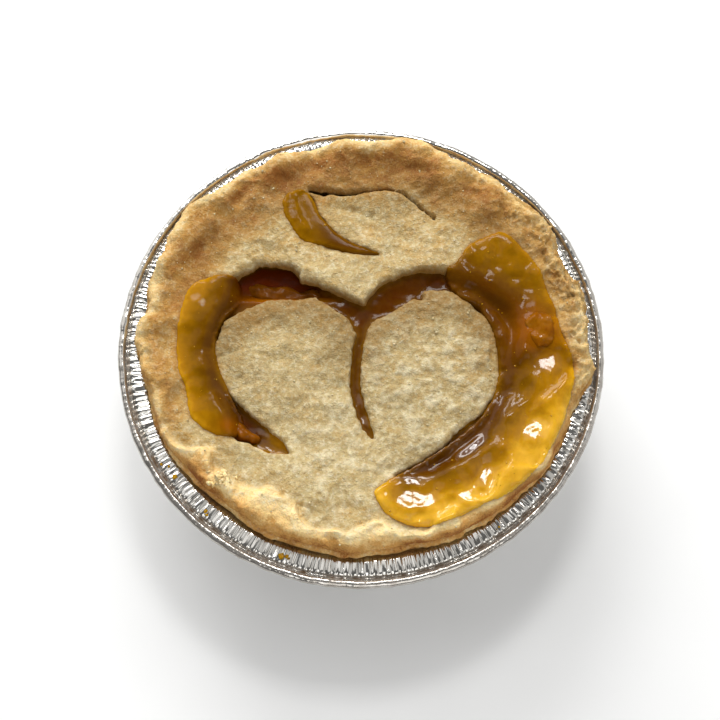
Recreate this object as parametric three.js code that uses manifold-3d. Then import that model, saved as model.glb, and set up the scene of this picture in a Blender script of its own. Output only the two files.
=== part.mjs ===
// A mini peach pie in its foil tin, in millimetres, with +Z up.
// The origin is the centre of the tin's base. -Y is the near side of the pie and +X its right,
// for someone who looks down at the leaf above the peach that is cut in the lid.

import * as THREE from "three";
import { mergeVertices } from "three/addons/utils/BufferGeometryUtils.js";
import Module from "manifold-3d";

const wasm = await Module();
wasm.setup();
const { clamp, degToRad, lerp, smoothstep } = THREE.MathUtils;

// Driving dimensions of the tin

const RIM_RADIUS = 63.5;
const RIM_HEIGHT = 30;
const CURL_RADIUS = 1.15;
const GROOVE_RADIUS = 60.9;
const FLANGE_INNER_RADIUS = 55.5;
const FLANGE_OUTER_HEIGHT = 29.5;
const FLANGE_INNER_HEIGHT = 28.7;
const BASE_RADIUS = 43.5;
const FOIL = 0.5;
const PLEATS = 80;
const PLEAT_DEPTH = 0.45;

// Driving dimensions of the pie

const GAP = 0.3;
const CRUST = 3;
const PASTRY_RADIUS = 58;
const SEAM_HEIGHT = 30.9;
const MOUTH_RADIUS = 51.2;
const MOUTH_BEVEL = 0.6;
const LID_HEIGHT = 32.8;
const LID_THICKNESS = 3.6;
const EDGE_THICKNESS = 1;
const EDGE_DROP = 1.2;
const EDGE_ROUNDING = 2.4;
const RIDGE_RISE = 2.2;
const RIDGE_INSET = 4;
const RIDGE_WIDTH = 3.6;
const LOBE_SINK = 1;
const SPILL_FRONT = 0.6;
const SLICE_HUMP = 1.4;
const POKE_ANGLE = 40;
const POKE_LENGTH = 2.4;

// The far left corner of the peach, where the filling has sunk: middle, depth, and reach along X and Y
const CAVE = { x: -22, y: 18, depth: 2.6, reachX: 11, reachY: 5.5 };

// How far apart the points lie: along outlines, on the lid, on the gel, and where little shows
const CURVE_STEP = 2.8;
const FINE = 3.4;
const GEL_FINE = 2.5;
const COARSE = 6.4;

// The plain radius of the outermost rows of points, and how far each follows the hand-shaped edge
const EDGE_ROWS = [[53, 0.3], [55, 0.7], [56.7, 0.95], [PASTRY_RADIUS, 1]];

// The hand-shaped edge of the pastry: how far it stands past its plain radius, by angle
const EDGE_BULGES = [
  [0, 1.2], [12, 2.2], [22, 0.3], [33, 2.6], [40, 0.3], [52, 2], [62, 0.4], [75, 2.7], [86, -0.3], [96, 1.1],
  [104, -0.3], [114, 0.6], [119, -0.6], [124, 0.9], [133, 0.2], [142, 2.7], [150, 1.4], [157, 0.3], [165, 0.6],
  [171, -0.8], [180, 1.2], [188, -0.3], [195, -1.3], [205, -0.9], [213, -1], [222, -1.9], [234, -2.6],
  [245, -1.8], [257, -2.2], [266, -1.3], [278, -2.4], [290, -1.6], [304, -0.8], [314, -0.9], [321, 0],
  [340, -0.4], [352, 2.7],
];

// Finger marks in the lid, and flakes that stand up from it: place, depth and radius
const DENTS = [
  [-43.5, 24.5, 1.3, 3],
  [-33.5, 40, 1.2, 3.4],
  [-21, 46, 1, 3.6],
  [0.5, 51.5, 1, 3.6],
  [15, 48.5, 1, 3.6],
  [30, 41, 1.1, 3.4],
  [-37, -36, 1.2, 4],
  [-20, -43, 0.7, 5],
  [-3, -45, 1, 3.4],
  [13, -53.5, 1.3, 4],
  [-55, -17, 0.8, 3],
  [-41.5, -33, -1, 2.8],
  [56.5, -3, -0.9, 3],
  [52, 27, -0.8, 3],
  [3, 42, -0.5, 7],
];

// The peach is two lobes inside the hole that is cut in the lid. The hole's outline runs round the left lobe,
// down and up the slit, round the right lobe, and back along the lid. Its corners are the ends of the runs.
const HOLE_RUNS = [
  [[-17, -31], [-23.5, -24], [-31, -17.5], [-36.5, -11], [-38, -4], [-35, 5], [-28, 9], [-21, 11], [-13, 11.4],
    [-6, 7.2], [-1.1, 1]],
  [[-1.1, 1], [-2.7, -6], [-2.8, -12.5], [-1.2, -20.5], [3.6, -27.5]],
  [[3.6, -27.5], [1.3, -18], [0, -9], [0.5, -3.3], [1.8, 2.8]],
  [[1.8, 2.8], [8.9, 7.8], [13.6, 11.2]],
  [[13.6, 11.2], [16.5, 13.2], [21, 13.8], [27.5, 11.2], [33, 5.8], [35.8, -1], [35.6, -12], [31, -19.5],
    [21, -27.5], [8, -36.3]],
  [[8, -36.3], [12.5, -38.6], [20, -36.6], [28.5, -31.5], [35, -23.2], [39.4, -11.3], [42.2, 2], [38, 10.6],
    [29, 15.8], [20, 19.6], [12, 19], [4.5, 15], [0.7, 9.8]],
  [[0.7, 9.8], [-5.6, 12.6], [-15, 16], [-19.5, 20.4], [-26.5, 20.7], [-34, 16]],
  [[-34, 16], [-37.5, 6.5], [-40.2, -3], [-38.5, -11], [-33.5, -20.5], [-32.5, -26.3], [-26, -29.2],
    [-17, -31]],
];

// The leaf: a wide slit below it, where gel wells up, and a thin slit above it
const LEAF_SLIT_RUNS = [
  [[-15, 41.5], [-12.6, 37.5], [-8, 31], [-1, 26], [5, 23.5]],
  [[5, 23.5], [-2, 24], [-10, 27.5], [-15.6, 33.5], [-17.4, 38.5], [-15, 41.5]],
];
const LEAF_CUT = [[-14, 42.3], [-4, 42], [6.4, 42.9], [13.7, 40], [20, 33.6]];
const LEAF_CUT_WIDTH = 0.8;

// Gel that boiled over: each outline runs round what lies on the lid and back a little inside the hole's edge
const LEFT_SPILL = [
  [-35, 17.3], [-41, 16.4], [-45.5, 12.4], [-47.6, 4], [-47.3, -5.5], [-44.6, -13.5], [-42.8, -21],
  [-38.5, -25.5], [-34, -27], [-31.4, -25], [-32.2, -20.2], [-37, -10.8], [-38.9, -3], [-36.3, 6.3],
  [-33, 14.6],
];
const RIGHT_SPILL = [
  [22.5, 18.8], [26, 23.5], [31.5, 28], [38, 29.8], [43, 25.4], [48.8, 14.4], [51, 4], [54, -7], [52.5, -18],
  [47.7, -28.7], [41.5, -37], [34, -42.5], [24, -47], [14.4, -49.4], [7, -46.5], [3.3, -41.5], [8, -37.2],
  [13, -36], [19.4, -34], [26.9, -29.3], [32.7, -22], [36.9, -10.9], [39.4, 1.6], [35.5, 8.8], [28, 13.4],
];
const LEAF_SPILL = [
  [-17, 42.6], [-20.2, 41.4], [-21.2, 37.3], [-19.6, 31.6], [-15, 27], [-8, 24.8], [-2, 23.2], [1.6, 24.2],
  [-2.6, 25.8], [-9.2, 30.8], [-13.6, 37.2], [-15.4, 40.6],
];

// Peach slices that show in the gel: middle, length, width, height and heading in degrees
const SLICES = {
  peach_slice_near_left: { at: [-29.4, -24.3, 28.2], size: [9.2, 4.2, 5], heading: -39 },
  peach_slice_right: { at: [45.6, 1.2, 35.2], size: [9.5, 7.4, 2.6], heading: 100 },
  peach_slice_near: { at: [17.6, -33, 26.4], size: [11, 4.6, 4.6], heading: 30 },
  peach_slice_far_left: { at: [-20.6, 15.2, 25.8], size: [25, 7, 5.4], heading: -8 },
};

// Small helpers for outlines

const vectors = (points) => points.map(([x, y]) => new THREE.Vector2(x, y));

function smoothRun(points, closed = false) {
  const curve = new THREE.CatmullRomCurve3(
    points.map(([x, y]) => new THREE.Vector3(x, y, 0)),
    closed,
    "centripetal",
  );
  const steps = Math.max(3, Math.round(curve.getLength() / CURVE_STEP));
  return curve
    .getSpacedPoints(steps)
    .slice(0, steps)
    .map((p) => [p.x, p.y]);
}

const joinRuns = (runs) => runs.flatMap((run) => smoothRun(run));

// The outline moved inwards by a distance
function inset(points, distance) {
  const turn = THREE.ShapeUtils.area(vectors(points)) > 0 ? 1 : -1;
  return points.map(([x, y], i) => {
    const before = points[(i + points.length - 1) % points.length];
    const after = points[(i + 1) % points.length];
    const along = new THREE.Vector2(after[0] - before[0], after[1] - before[1]).normalize();
    return [x - turn * distance * along.y, y + turn * distance * along.x];
  });
}

function isInside(points, x, y) {
  let inside = false;
  points.forEach(([ax, ay], i) => {
    const [bx, by] = points[(i + 1) % points.length];
    if (ay > y !== by > y && x < ax + ((bx - ax) * (y - ay)) / (by - ay)) inside = !inside;
  });
  return inside;
}

function distanceTo(points, x, y) {
  let nearest = Infinity;
  points.forEach(([ax, ay], i) => {
    const [bx, by] = points[(i + 1) % points.length];
    const [dx, dy] = [bx - ax, by - ay];
    const share = clamp(((x - ax) * dx + (y - ay) * dy) / (dx * dx + dy * dy), 0, 1);
    nearest = Math.min(nearest, Math.hypot(x - ax - share * dx, y - ay - share * dy));
  });
  return nearest;
}

const signedDistance = (points, x, y) => (isInside(points, x, y) ? 1 : -1) * distanceTo(points, x, y);

// Solids

function solidFrom(geometry) {
  geometry.deleteAttribute("normal");
  geometry.deleteAttribute("uv");
  const merged = mergeVertices(geometry, 1e-4);
  return new wasm.Manifold(
    new wasm.Mesh({
      numProp: 3,
      vertProperties: new Float32Array(merged.attributes.position.array),
      triVerts: new Uint32Array(merged.index.array),
    }),
  );
}

function geometryFrom(solid) {
  const mesh = solid.getMesh();
  const geometry = new THREE.BufferGeometry();
  geometry.setAttribute("position", new THREE.BufferAttribute(new Float32Array(mesh.vertProperties), 3));
  geometry.setIndex(new THREE.BufferAttribute(new Uint32Array(mesh.triVerts), 1));
  geometry.computeVertexNormals();
  return geometry;
}

// An upright prism between two heights
function prism(points, low, high) {
  const geometry = new THREE.ExtrudeGeometry(new THREE.Shape(vectors(points)), {
    depth: high - low,
    bevelEnabled: false,
  });
  geometry.translate(0, 0, low);
  return solidFrom(geometry);
}

// A closed skin over rings. Each ring is a list of points that starts at angle 0 and runs anticlockwise, and a
// ring of one point is a pole. Rings run from the pole below, outwards and up to the pole above.
function skin(rings) {
  const positions = rings.flat(2);
  const starts = [];
  let count = 0;
  for (const row of rings) {
    starts.push(count);
    count += row.length;
  }
  const faces = [];
  for (let i = 0; i + 1 < rings.length; i++) {
    const [n, m] = [rings[i].length, rings[i + 1].length];
    const lower = (k) => starts[i] + (k % n);
    const upper = (k) => starts[i + 1] + (k % m);
    let a = 0;
    let b = 0;
    while (a < n || b < m) {
      const stepLower = n > 1 && (b >= m || m === 1 || (a + 1) / n <= (b + 1) / m) && a < n;
      if (stepLower) {
        faces.push(lower(a), lower(a + 1), upper(b));
        a++;
      } else {
        faces.push(lower(a), upper(b + 1), upper(b));
        b++;
      }
      if (n === 1 && b >= m) break;
      if (m === 1 && a >= n) break;
    }
  }
  const geometry = new THREE.BufferGeometry();
  geometry.setAttribute("position", new THREE.Float32BufferAttribute(positions, 3));
  geometry.setIndex(faces);
  return solidFrom(geometry);
}

function ring(sectors, radiusAt, heightAt) {
  return Array.from({ length: sectors }, (_, k) => {
    const angle = (2 * Math.PI * k) / sectors;
    const radius = radiusAt(angle, k);
    const [x, y] = [radius * Math.cos(angle), radius * Math.sin(angle)];
    return [x, y, heightAt(x, y, angle, k)];
  });
}

// A round plate between two height functions, its rows of points about one spacing apart. Plates with the
// same spacing have their points one above the other, so they can lie close together and never cross.
function plate(underside, undersideSpacing, top, topSpacing, grow = 0) {
  const face = (heightAt, spacing) => {
    const rows = Math.round(MOUTH_RADIUS / spacing);
    const plain = Array.from({ length: rows }, (_, i) => [((i + 1) * MOUTH_RADIUS) / rows, 0]);
    return [...plain, ...EDGE_ROWS].map(([radius, follow]) => {
      const sectors = Math.max(6, Math.round((2 * Math.PI * Math.min(radius, MOUTH_RADIUS)) / spacing));
      const grown = follow === 1 ? grow : 0;
      return ring(sectors, (a) => radius + follow * bulge(a) + grown, heightAt);
    });
  };
  return skin([
    [[0, 0, underside(0, 0)]],
    ...face(underside, undersideSpacing),
    ...face(top, topSpacing).reverse(),
    [[0, 0, top(0, 0)]],
  ]);
}

// Heights of the pastry and the gel

function bulge(angle) {
  const degrees = ((((angle * 180) / Math.PI) % 360) + 360) % 360;
  const i = EDGE_BULGES.findLastIndex(([at]) => at <= degrees);
  const [from, low] = EDGE_BULGES[i];
  const [to, high] = EDGE_BULGES[i + 1] ?? [360, EDGE_BULGES[0][1]];
  return lerp(low, high, smoothstep(degrees, from, to));
}

const pastryRadius = (angle) => PASTRY_RADIUS + bulge(angle);

const hole = joinRuns(HOLE_RUNS);
const leafSlit = joinRuns(LEAF_SLIT_RUNS);
const peachCorners = [...HOLE_RUNS[7], ...HOLE_RUNS[5].slice(1), ...HOLE_RUNS[6].slice(1, -1)];
const peachOutline = smoothRun(peachCorners, true);

const SPILLS = [
  { outline: LEFT_SPILL, opening: hole, thickness: 1.1, ripple: 0.15, fall: 0.12 },
  { outline: RIGHT_SPILL, opening: hole, thickness: 1.8, ripple: 0.5, fall: 0.2 },
  { outline: LEAF_SPILL, opening: leafSlit, thickness: 0.9, ripple: 0.1, fall: 0 },
];

// Waves round the ridge of the rim, higher where the edge bulges
function ridgeHeight(angle) {
  return RIDGE_RISE + 0.22 * bulge(angle) + 0.35 * Math.sin(9 * angle + 1) + 0.25 * Math.sin(14 * angle);
}

function dentDepth(x, y) {
  return DENTS.reduce((sum, [cx, cy, depth, radius]) => {
    return sum + depth * Math.exp(-(((x - cx) ** 2 + (y - cy) ** 2) / radius ** 2));
  }, 0);
}

const inPeach = (x, y) => smoothstep(signedDistance(peachOutline, x, y), -2, 4);

function lidUnderside(x, y) {
  const onShell = smoothstep(Math.hypot(x, y), MOUTH_RADIUS - 9.5, MOUTH_RADIUS - 5);
  return lerp(LID_HEIGHT - LID_THICKNESS - LOBE_SINK * inPeach(x, y), SEAM_HEIGHT + GAP, onShell);
}

function lidTop(x, y) {
  const angle = Math.atan2(y, x);
  const fromEdge = Math.max(0, pastryRadius(angle) - Math.hypot(x, y));
  const ridge = ridgeHeight(angle) * Math.exp(-(((fromEdge - RIDGE_INSET) / RIDGE_WIDTH) ** 2));
  const rounding = EDGE_DROP * (1 - smoothstep(fromEdge, 0, EDGE_ROUNDING));
  const height = LID_HEIGHT + ridge - rounding - LOBE_SINK * inPeach(x, y) - dentDepth(x, y);
  return Math.max(height, lidUnderside(x, y) + EDGE_THICKNESS);
}

// The filling's own level: against the lid's underside, and lowest in the far left corner of the peach
function gelLevel(x, y) {
  const cave = Math.exp(-(((x - CAVE.x) / CAVE.reachX) ** 2 + ((y - CAVE.y) / CAVE.reachY) ** 2));
  return lidUnderside(x, y) - GAP - CAVE.depth * cave;
}

// The spill's surface: a layer over the lid with a round front, which runs down through the hole. It lies
// thinner where the lid rises, and humps over the slice of peach that came out with it.
function spillTop({ front, opening, thickness, ripple, fall }) {
  const { at, size } = SLICES.peach_slice_right;
  return (x, y) => {
    const fromFront = signedDistance(front, x, y);
    const intoHole = signedDistance(opening, x, y);
    const ripples = ripple * Math.sin(0.5 * x + 0.2 * y) * Math.cos(0.45 * y - 0.1 * x);
    const hump = SLICE_HUMP * Math.exp(-(((x - at[0]) ** 2 + (y - at[1]) ** 2) / (0.6 * size[0]) ** 2));
    const layer = (thickness + ripples + hump) * Math.sqrt(smoothstep(fromFront, -0.6, 3.6));
    const pastry = lidTop(x, y);
    const pooled = lerp(pastry, Math.min(pastry, LID_HEIGHT), 0.4) + layer;
    const overLid = GAP + Math.max(pastry + SPILL_FRONT, pooled);
    return lerp(overLid, gelLevel(x, y), clamp(fall * intoHole, 0, 0.9));
  };
}

// The tin: base, pleated wall and flange, groove and curled rim. The pleats only push outwards and down.

function tin() {
  const smooth = (r, z) => ring(PLEATS, () => r, () => z);
  const pleated = (r, z) => {
    const fold = (k) => PLEAT_DEPTH * (k % 2);
    return ring(PLEATS * 2, (_, k) => r + 0.4 * fold(k), (x, y, a, k) => z - fold(k));
  };
  const curl = (degrees) =>
    smooth(
      RIM_RADIUS - CURL_RADIUS + CURL_RADIUS * Math.cos(degToRad(degrees)),
      RIM_HEIGHT - CURL_RADIUS + CURL_RADIUS * Math.sin(degToRad(degrees)),
    );
  return skin([
    [[0, 0, 0]],
    smooth(BASE_RADIUS, 0),
    pleated(BASE_RADIUS + 1, 2.2),
    pleated(FLANGE_INNER_RADIUS + FOIL, FLANGE_INNER_HEIGHT - 1.4 * FOIL),
    pleated(GROOVE_RADIUS + 0.2, FLANGE_OUTER_HEIGHT - 2.4 * FOIL),
    ...[-125, -60, 0, 60, 120].map(curl),
    smooth(GROOVE_RADIUS, FLANGE_OUTER_HEIGHT - 1.4 * FOIL),
    pleated(GROOVE_RADIUS - 0.7, FLANGE_OUTER_HEIGHT),
    pleated(FLANGE_INNER_RADIUS, FLANGE_INNER_HEIGHT),
    smooth(FLANGE_INNER_RADIUS - 0.8, FLANGE_INNER_HEIGHT - 1),
    smooth(BASE_RADIUS - FOIL, FOIL),
    [[0, 0, FOIL]],
  ]);
}

// The lower crust lines the tin and its edge lies on the flange, a little inside the lid's edge.
// It pokes out from under the lid at one place on the far right.

function lowerCrust() {
  const sectors = 64;
  const plain = (r, z) => ring(sectors, () => r, () => z);
  const poke = (a) => POKE_LENGTH * Math.exp(-(((a - degToRad(POKE_ANGLE)) / 0.07) ** 2));
  const outer = (inward, height) => ring(sectors, (a) => pastryRadius(a) + poke(a) - inward, () => height);
  const wallInset = CRUST + GAP;
  return skin([
    [[0, 0, FOIL + GAP]],
    plain(BASE_RADIUS - FOIL - GAP, FOIL + GAP),
    plain(FLANGE_INNER_RADIUS - 0.8 - GAP, FLANGE_INNER_HEIGHT - 0.8),
    plain(FLANGE_INNER_RADIUS - 0.2, FLANGE_INNER_HEIGHT + 0.5),
    outer(0.9, FLANGE_OUTER_HEIGHT + 0.4),
    outer(0.4, SEAM_HEIGHT - 0.4),
    outer(0.8, SEAM_HEIGHT),
    plain(MOUTH_RADIUS, SEAM_HEIGHT),
    plain(MOUTH_RADIUS - MOUTH_BEVEL, SEAM_HEIGHT - 1.4),
    plain(BASE_RADIUS - FOIL - wallInset, FOIL + wallInset),
    [[0, 0, FOIL + wallInset]],
  ]);
}

// The lid, with the peach and the leaf cut through it

const ABOVE_ALL = LID_HEIGHT + 12;

function lid() {
  const cut = smoothRun(LEAF_CUT);
  const wide = LEAF_CUT_WIDTH / 2;
  const leafCut = [...cut.map(([x, y]) => [x, y + wide]), ...cut.map(([x, y]) => [x, y - wide]).reverse()];
  return [hole, leafSlit, leafCut].reduce(
    (whole, outline) => whole.subtract(prism(outline, 0, ABOVE_ALL)),
    plate(lidUnderside, COARSE, lidTop, FINE),
  );
}

// The filling: the gel inside the lower crust, joined through the holes to what boiled over the lid

function filling(slices) {
  const reach = 2 * GAP + CRUST;
  const mouthRadius = MOUTH_RADIUS - MOUTH_BEVEL - GAP;
  const sectors = 48;
  const rows = Math.round(MOUTH_RADIUS / COARSE);
  const surface = Array.from({ length: rows }, (_, i) => {
    const radius = Math.min(mouthRadius, ((rows - i) * MOUTH_RADIUS) / rows);
    return ring(Math.max(6, Math.round((2 * Math.PI * radius) / COARSE)), () => radius, gelLevel);
  });
  let gel = skin([
    [[0, 0, FOIL + reach]],
    ring(sectors, () => BASE_RADIUS - FOIL - reach, () => FOIL + reach),
    ...surface,
    [[0, 0, gelLevel(0, 0)]],
  ]);
  const deep = LID_HEIGHT - 9;
  const lidAndBelow = [hole, leafSlit].reduce(
    (whole, outline) => whole.subtract(prism(inset(outline, GAP), 0, ABOVE_ALL)),
    plate(() => deep - 1, COARSE, (x, y) => lidTop(x, y) + GAP, FINE, GAP),
  );
  for (const spill of SPILLS) {
    const front = smoothRun(spill.outline, true);
    const layer = plate(() => deep, COARSE, spillTop({ ...spill, front }), GEL_FINE);
    gel = gel.add(layer.intersect(prism(front, 0, ABOVE_ALL)).subtract(lidAndBelow));
  }
  for (const slice of slices) gel = gel.subtract(slice);
  return gel.decompose().sort((a, b) => b.volume() - a.volume())[0];
}

// A slice of peach: a bent wedge with a round back, thickest in the middle. Room makes it larger all round.

function peachSlice({ at, size, heading }, room = 0) {
  const [length, width, height] = size.map((d) => d / 2 + room);
  const bend = 0.16;
  const stations = 8;
  const sides = 10;
  const rings = [[[-length, 0, 0]]];
  for (let i = 1; i < stations; i++) {
    const along = -Math.cos((Math.PI * i) / stations);
    const girth = Math.sqrt(1 - along * along) ** 0.8;
    rings.push(
      Array.from({ length: sides }, (_, k) => {
        const a = (2 * Math.PI * k) / sides;
        const wedge = 1 - 0.22 * Math.sin(a) ** 2 * (Math.cos(a) > 0 ? 1 : 0);
        const across = width * girth * wedge * Math.cos(a);
        return [length * along, across - bend * length * (1 - along * along), height * girth * Math.sin(a)];
      }),
    );
  }
  rings.push([[length, 0, 0]]);
  return skin(rings).rotate([0, 0, heading]).translate(at);
}

// The pie

const COLOURS = {
  foil: { color: 0xbfbdb8, roughness: 0.3, metalness: 1 },
  pastry: { color: 0xc4a878, roughness: 0.85, metalness: 0 },
  gel: { color: 0xa87216, roughness: 0.12, metalness: 0 },
  peach: { color: 0xb5620a, roughness: 0.25, metalness: 0 },
};

function piece(name, solid, finish) {
  const mesh = new THREE.Mesh(geometryFrom(solid), new THREE.MeshStandardMaterial(COLOURS[finish]));
  mesh.name = name;
  return mesh;
}

const pie = new THREE.Group();
pie.add(piece("foil_tin", tin(), "foil"));
pie.add(piece("lower_crust", lowerCrust(), "pastry"));
pie.add(piece("lid", lid(), "pastry"));
pie.add(piece("filling", filling(Object.values(SLICES).map((slice) => peachSlice(slice, GAP))), "gel"));
for (const [name, slice] of Object.entries(SLICES)) {
  pie.add(piece(name, peachSlice(slice), "peach"));
}

export default pie;
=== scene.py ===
# %% [markdown]
# # A mini peach pie in its foil tin
# The real thing is shortcrust pastry baked in a pleated foil tin. Its lid has a peach and a leaf cut in it,
# and peach filling, thickened to a clear amber gel, has boiled up through the cuts and set on the crust.
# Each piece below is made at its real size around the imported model, which gives the frame and the sizes.

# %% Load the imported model
import math

import bmesh
import bpy
import numpy as np
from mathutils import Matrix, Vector, noise


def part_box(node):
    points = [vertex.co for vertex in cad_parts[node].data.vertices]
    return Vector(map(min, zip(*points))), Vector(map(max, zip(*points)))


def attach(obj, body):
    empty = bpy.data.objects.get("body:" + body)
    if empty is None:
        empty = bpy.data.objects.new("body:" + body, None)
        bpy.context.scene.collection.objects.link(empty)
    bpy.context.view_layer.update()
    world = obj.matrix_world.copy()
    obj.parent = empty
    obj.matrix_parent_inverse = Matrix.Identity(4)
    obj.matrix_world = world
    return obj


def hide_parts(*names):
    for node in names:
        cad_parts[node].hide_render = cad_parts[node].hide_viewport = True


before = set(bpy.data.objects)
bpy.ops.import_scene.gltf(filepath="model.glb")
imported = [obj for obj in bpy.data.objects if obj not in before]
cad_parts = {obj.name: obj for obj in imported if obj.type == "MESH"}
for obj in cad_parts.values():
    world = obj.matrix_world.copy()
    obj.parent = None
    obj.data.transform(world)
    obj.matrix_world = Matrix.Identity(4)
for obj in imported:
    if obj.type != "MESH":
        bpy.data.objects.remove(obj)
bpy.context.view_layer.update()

MM = 0.001

# %% [markdown]
# ## Measures
# A baker would measure the tin first, because the pastry is cut to fit it. The rim and the height of the
# tin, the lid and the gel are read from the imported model; the smaller measures are named here, in
# millimetres.

# %% Measures of tin and pastry
RIM_RADIUS, _, RIM_TOP = (float(measure) for measure in np.array(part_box("foil_tin")[1]) / MM)
LID_HIGHEST = float(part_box("lid")[1][2] / MM)
GEL_HIGHEST = float(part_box("filling")[1][2] / MM)
BASE_RADIUS = 43.5
FOIL = 0.5
BEAD_RADIUS = 1.15
GAP = 0.3
PASTRY_RADIUS = 58.0
LID_LEVEL = 32.8
LID_THICKNESS = 3.6
LOBE_SINK = 1.0
SEAM_HEIGHT = 30.9
# Between these radii the underside of the lid rises to lie on the edge of the lower crust
SHELF_FROM, SHELF_TO = 41.7, 46.2
# Above these two heights the crust and the gel rise only half as much
LID_SOFT_TOP = 34.6
GEL_SOFT_TOP = 35.8
STEP = 0.42
print("rim radius", round(RIM_RADIUS, 2), "rim top", round(RIM_TOP, 2), "highest gel", round(GEL_HIGHEST, 2))

# %% [markdown]
# ## Outlines
# The hole, the leaf and the fronts of the spilled gel were cut by hand and by chance, so no formula gives
# them. Each is a short list of places that a smooth curve runs through. The hole's corners, such as the tip
# of the slit between the lobes, are where one run of the curve ends and the next begins.

# %% The cuts in the lid
HOLE_RUNS = [
    [(-17, -31), (-19.7, -27.3), (-23.3, -24.2), (-30.6, -17.9), (-36.3, -11.5), (-37.9, -4), (-36.9, 0.7),
     (-35, 4.9), (-31.7, 7.4), (-25, 10.3), (-21, 10.9), (-16, 10.9), (-12.7, 11.5), (-9.5, 10),
     (-6.1, 7.2), (-3.2, 5), (-1.1, 1)],
    [(-1.1, 1), (-2.1, -1.9), (-2.8, -9.3), (-2.8, -12.8), (-1.2, -20.7), (1.6, -26), (3.6, -27.5)],
    [(3.6, -27.5), (2.3, -21.5), (0.3, -14.1), (0, -8), (0.5, -3.3), (1.8, 2.8)],
    [(1.8, 2.8), (3.6, 5), (8.9, 7.8), (11.5, 10.1), (13.4, 11), (16.5, 10.7)],
    [(16.5, 10.7), (16.5, 13.3), (20.8, 13.8), (24.7, 13), (29.8, 9), (34.8, 3.4), (35.8, -4.6),
     (35.5, -12.7), (33.3, -16.1), (30.1, -20.4), (23.6, -25.1), (19.8, -28.9), (14.7, -32), (8, -36.3)],
    [(8, -36.3), (10.9, -38.8), (15.9, -38.1), (20.1, -36.6), (29.2, -31.2), (35, -23.2), (38.4, -15.3),
     (40.1, -6.4), (42.3, 1.8), (40.3, 8.2), (33.9, 13.3), (28.7, 15.6), (25.5, 17.3), (22.6, 19),
     (18.2, 19.6), (14.2, 19.3), (10.2, 18.1), (6.3, 16.1), (3.6, 14.1), (0.7, 9.8)],
    [(0.7, 9.8), (-1.6, 10.9), (-9.5, 14.6), (-13, 16), (-15.6, 16.3), (-16.2, 18), (-18.9, 20.3),
     (-22.9, 20.9), (-26.8, 20.9), (-29.4, 19.1), (-32, 18.3), (-34, 16)],
    [(-34, 16), (-36, 9.4), (-38.3, 4.3), (-40.1, -2.1), (-39.5, -7.5), (-37.4, -14.2), (-33.8, -20.3),
     (-32.5, -26.5), (-28.2, -28.3), (-23.1, -30.6), (-17, -31)],
]
LEAF_SLIT_RUNS = [
    [(-15, 41.6), (-13.4, 40.4), (-12.3, 37.4), (-10.3, 33.8), (-7.6, 30.5), (-4.4, 28.1), (-0.9, 26.1),
     (5, 23.5)],
    [(5, 23.5), (-3, 23.9), (-10, 27), (-14, 31), (-16.6, 36), (-17.2, 40), (-15, 41.6)],
]
LEAF_CUT = [
    (-14, 42.3), (-9.9, 41.9), (-4, 42), (6.4, 42.9), (10.5, 41.7), (13.7, 40), (16.4, 37.5), (20, 33.6),
]
LEAF_VEIN = [(-8.2, 37.7), (-5.5, 37.1), (-2.6, 36.8), (0.2, 35.9), (2.3, 34.7), (3.9, 33.2)]
LOBE_SCORE = [(-37, -5.5), (-32, -3.6), (-25.5, -2.4)]
NEAR_CRACK = [(-16.2, -43.6), (-13.2, -44.4), (-9.6, -46.2)]

# %% The fronts of the spilled gel
LEFT_SPILL = [
    (-34.1, 17), (-36.8, 17.2), (-41.2, 16.4), (-43.7, 14.9), (-45.7, 12.4), (-46.8, 8.7), (-47.7, -1.1),
    (-46.5, -9.2), (-44.7, -13.2), (-42.9, -21.1), (-40.8, -23.7), (-38.2, -25.5), (-34.6, -26.8),
    (-31.6, -26.4), (-29.8, -22.5), (-34, -14), (-37.6, -3), (-35.6, 5), (-32.2, 10), (-32.4, 15.6),
]
RIGHT_SPILL = [
    (22.6, 18.9), (25.1, 21), (28.4, 25.9), (31.7, 28), (35.7, 29.5), (37.9, 29.8), (42.7, 25.4),
    (47.1, 18.1), (49.8, 10.2), (51.4, 1.8), (53.9, -6.4), (53.9, -10.4), (53.1, -15.7), (49.7, -24.9),
    (45, -33), (37.8, -40.1), (29, -44.5), (21.7, -47.9), (14.4, -49.4), (7.1, -46.5), (3.3, -41.9),
    (4.2, -39.6), (9, -36.2), (14, -33.4), (22, -28.2), (31, -20), (34.6, -12), (35, -2), (31.4, 7.6),
    (25, 12.4),
]
LEAF_SPILL = [
    (-16.4, 42.6), (-19.7, 41.6), (-21, 39.8), (-21.2, 37.3), (-20.6, 34.3), (-17, 28.4), (-14, 26.6),
    (-10.5, 25.8), (-3, 23.7), (1, 23.2), (5, 23.5), (2.3, 24.9), (-4.4, 28.1), (-10.3, 33.8),
    (-13.4, 40.4),
]

# %% The hand-shaped edge and the dents in the pastry
EDGE_BULGES = np.array([
    (0, 1.2), (12, 2.2), (22, 0.3), (33, 2.6), (40, 0.3), (52, 2), (62, 0.4), (75, 2.7), (86, -0.3),
    (96, 1.1), (104, -0.3), (114, 0.6), (119, -0.6), (124, 0.9), (133, 0.2), (142, 2.7), (150, 1.4),
    (157, 0.3), (165, 0.6), (171, -0.8), (180, 1.2), (188, -0.3), (195, -1.3), (205, -0.9), (213, -1),
    (222, -1.9), (234, -2.6), (245, -1.8), (257, -2.2), (266, -1.3), (278, -2.4), (290, -1.6), (304, -0.8),
    (314, -0.9), (321, 0), (340, -0.4), (352, 2.7), (360, 1.2),
])
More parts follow.
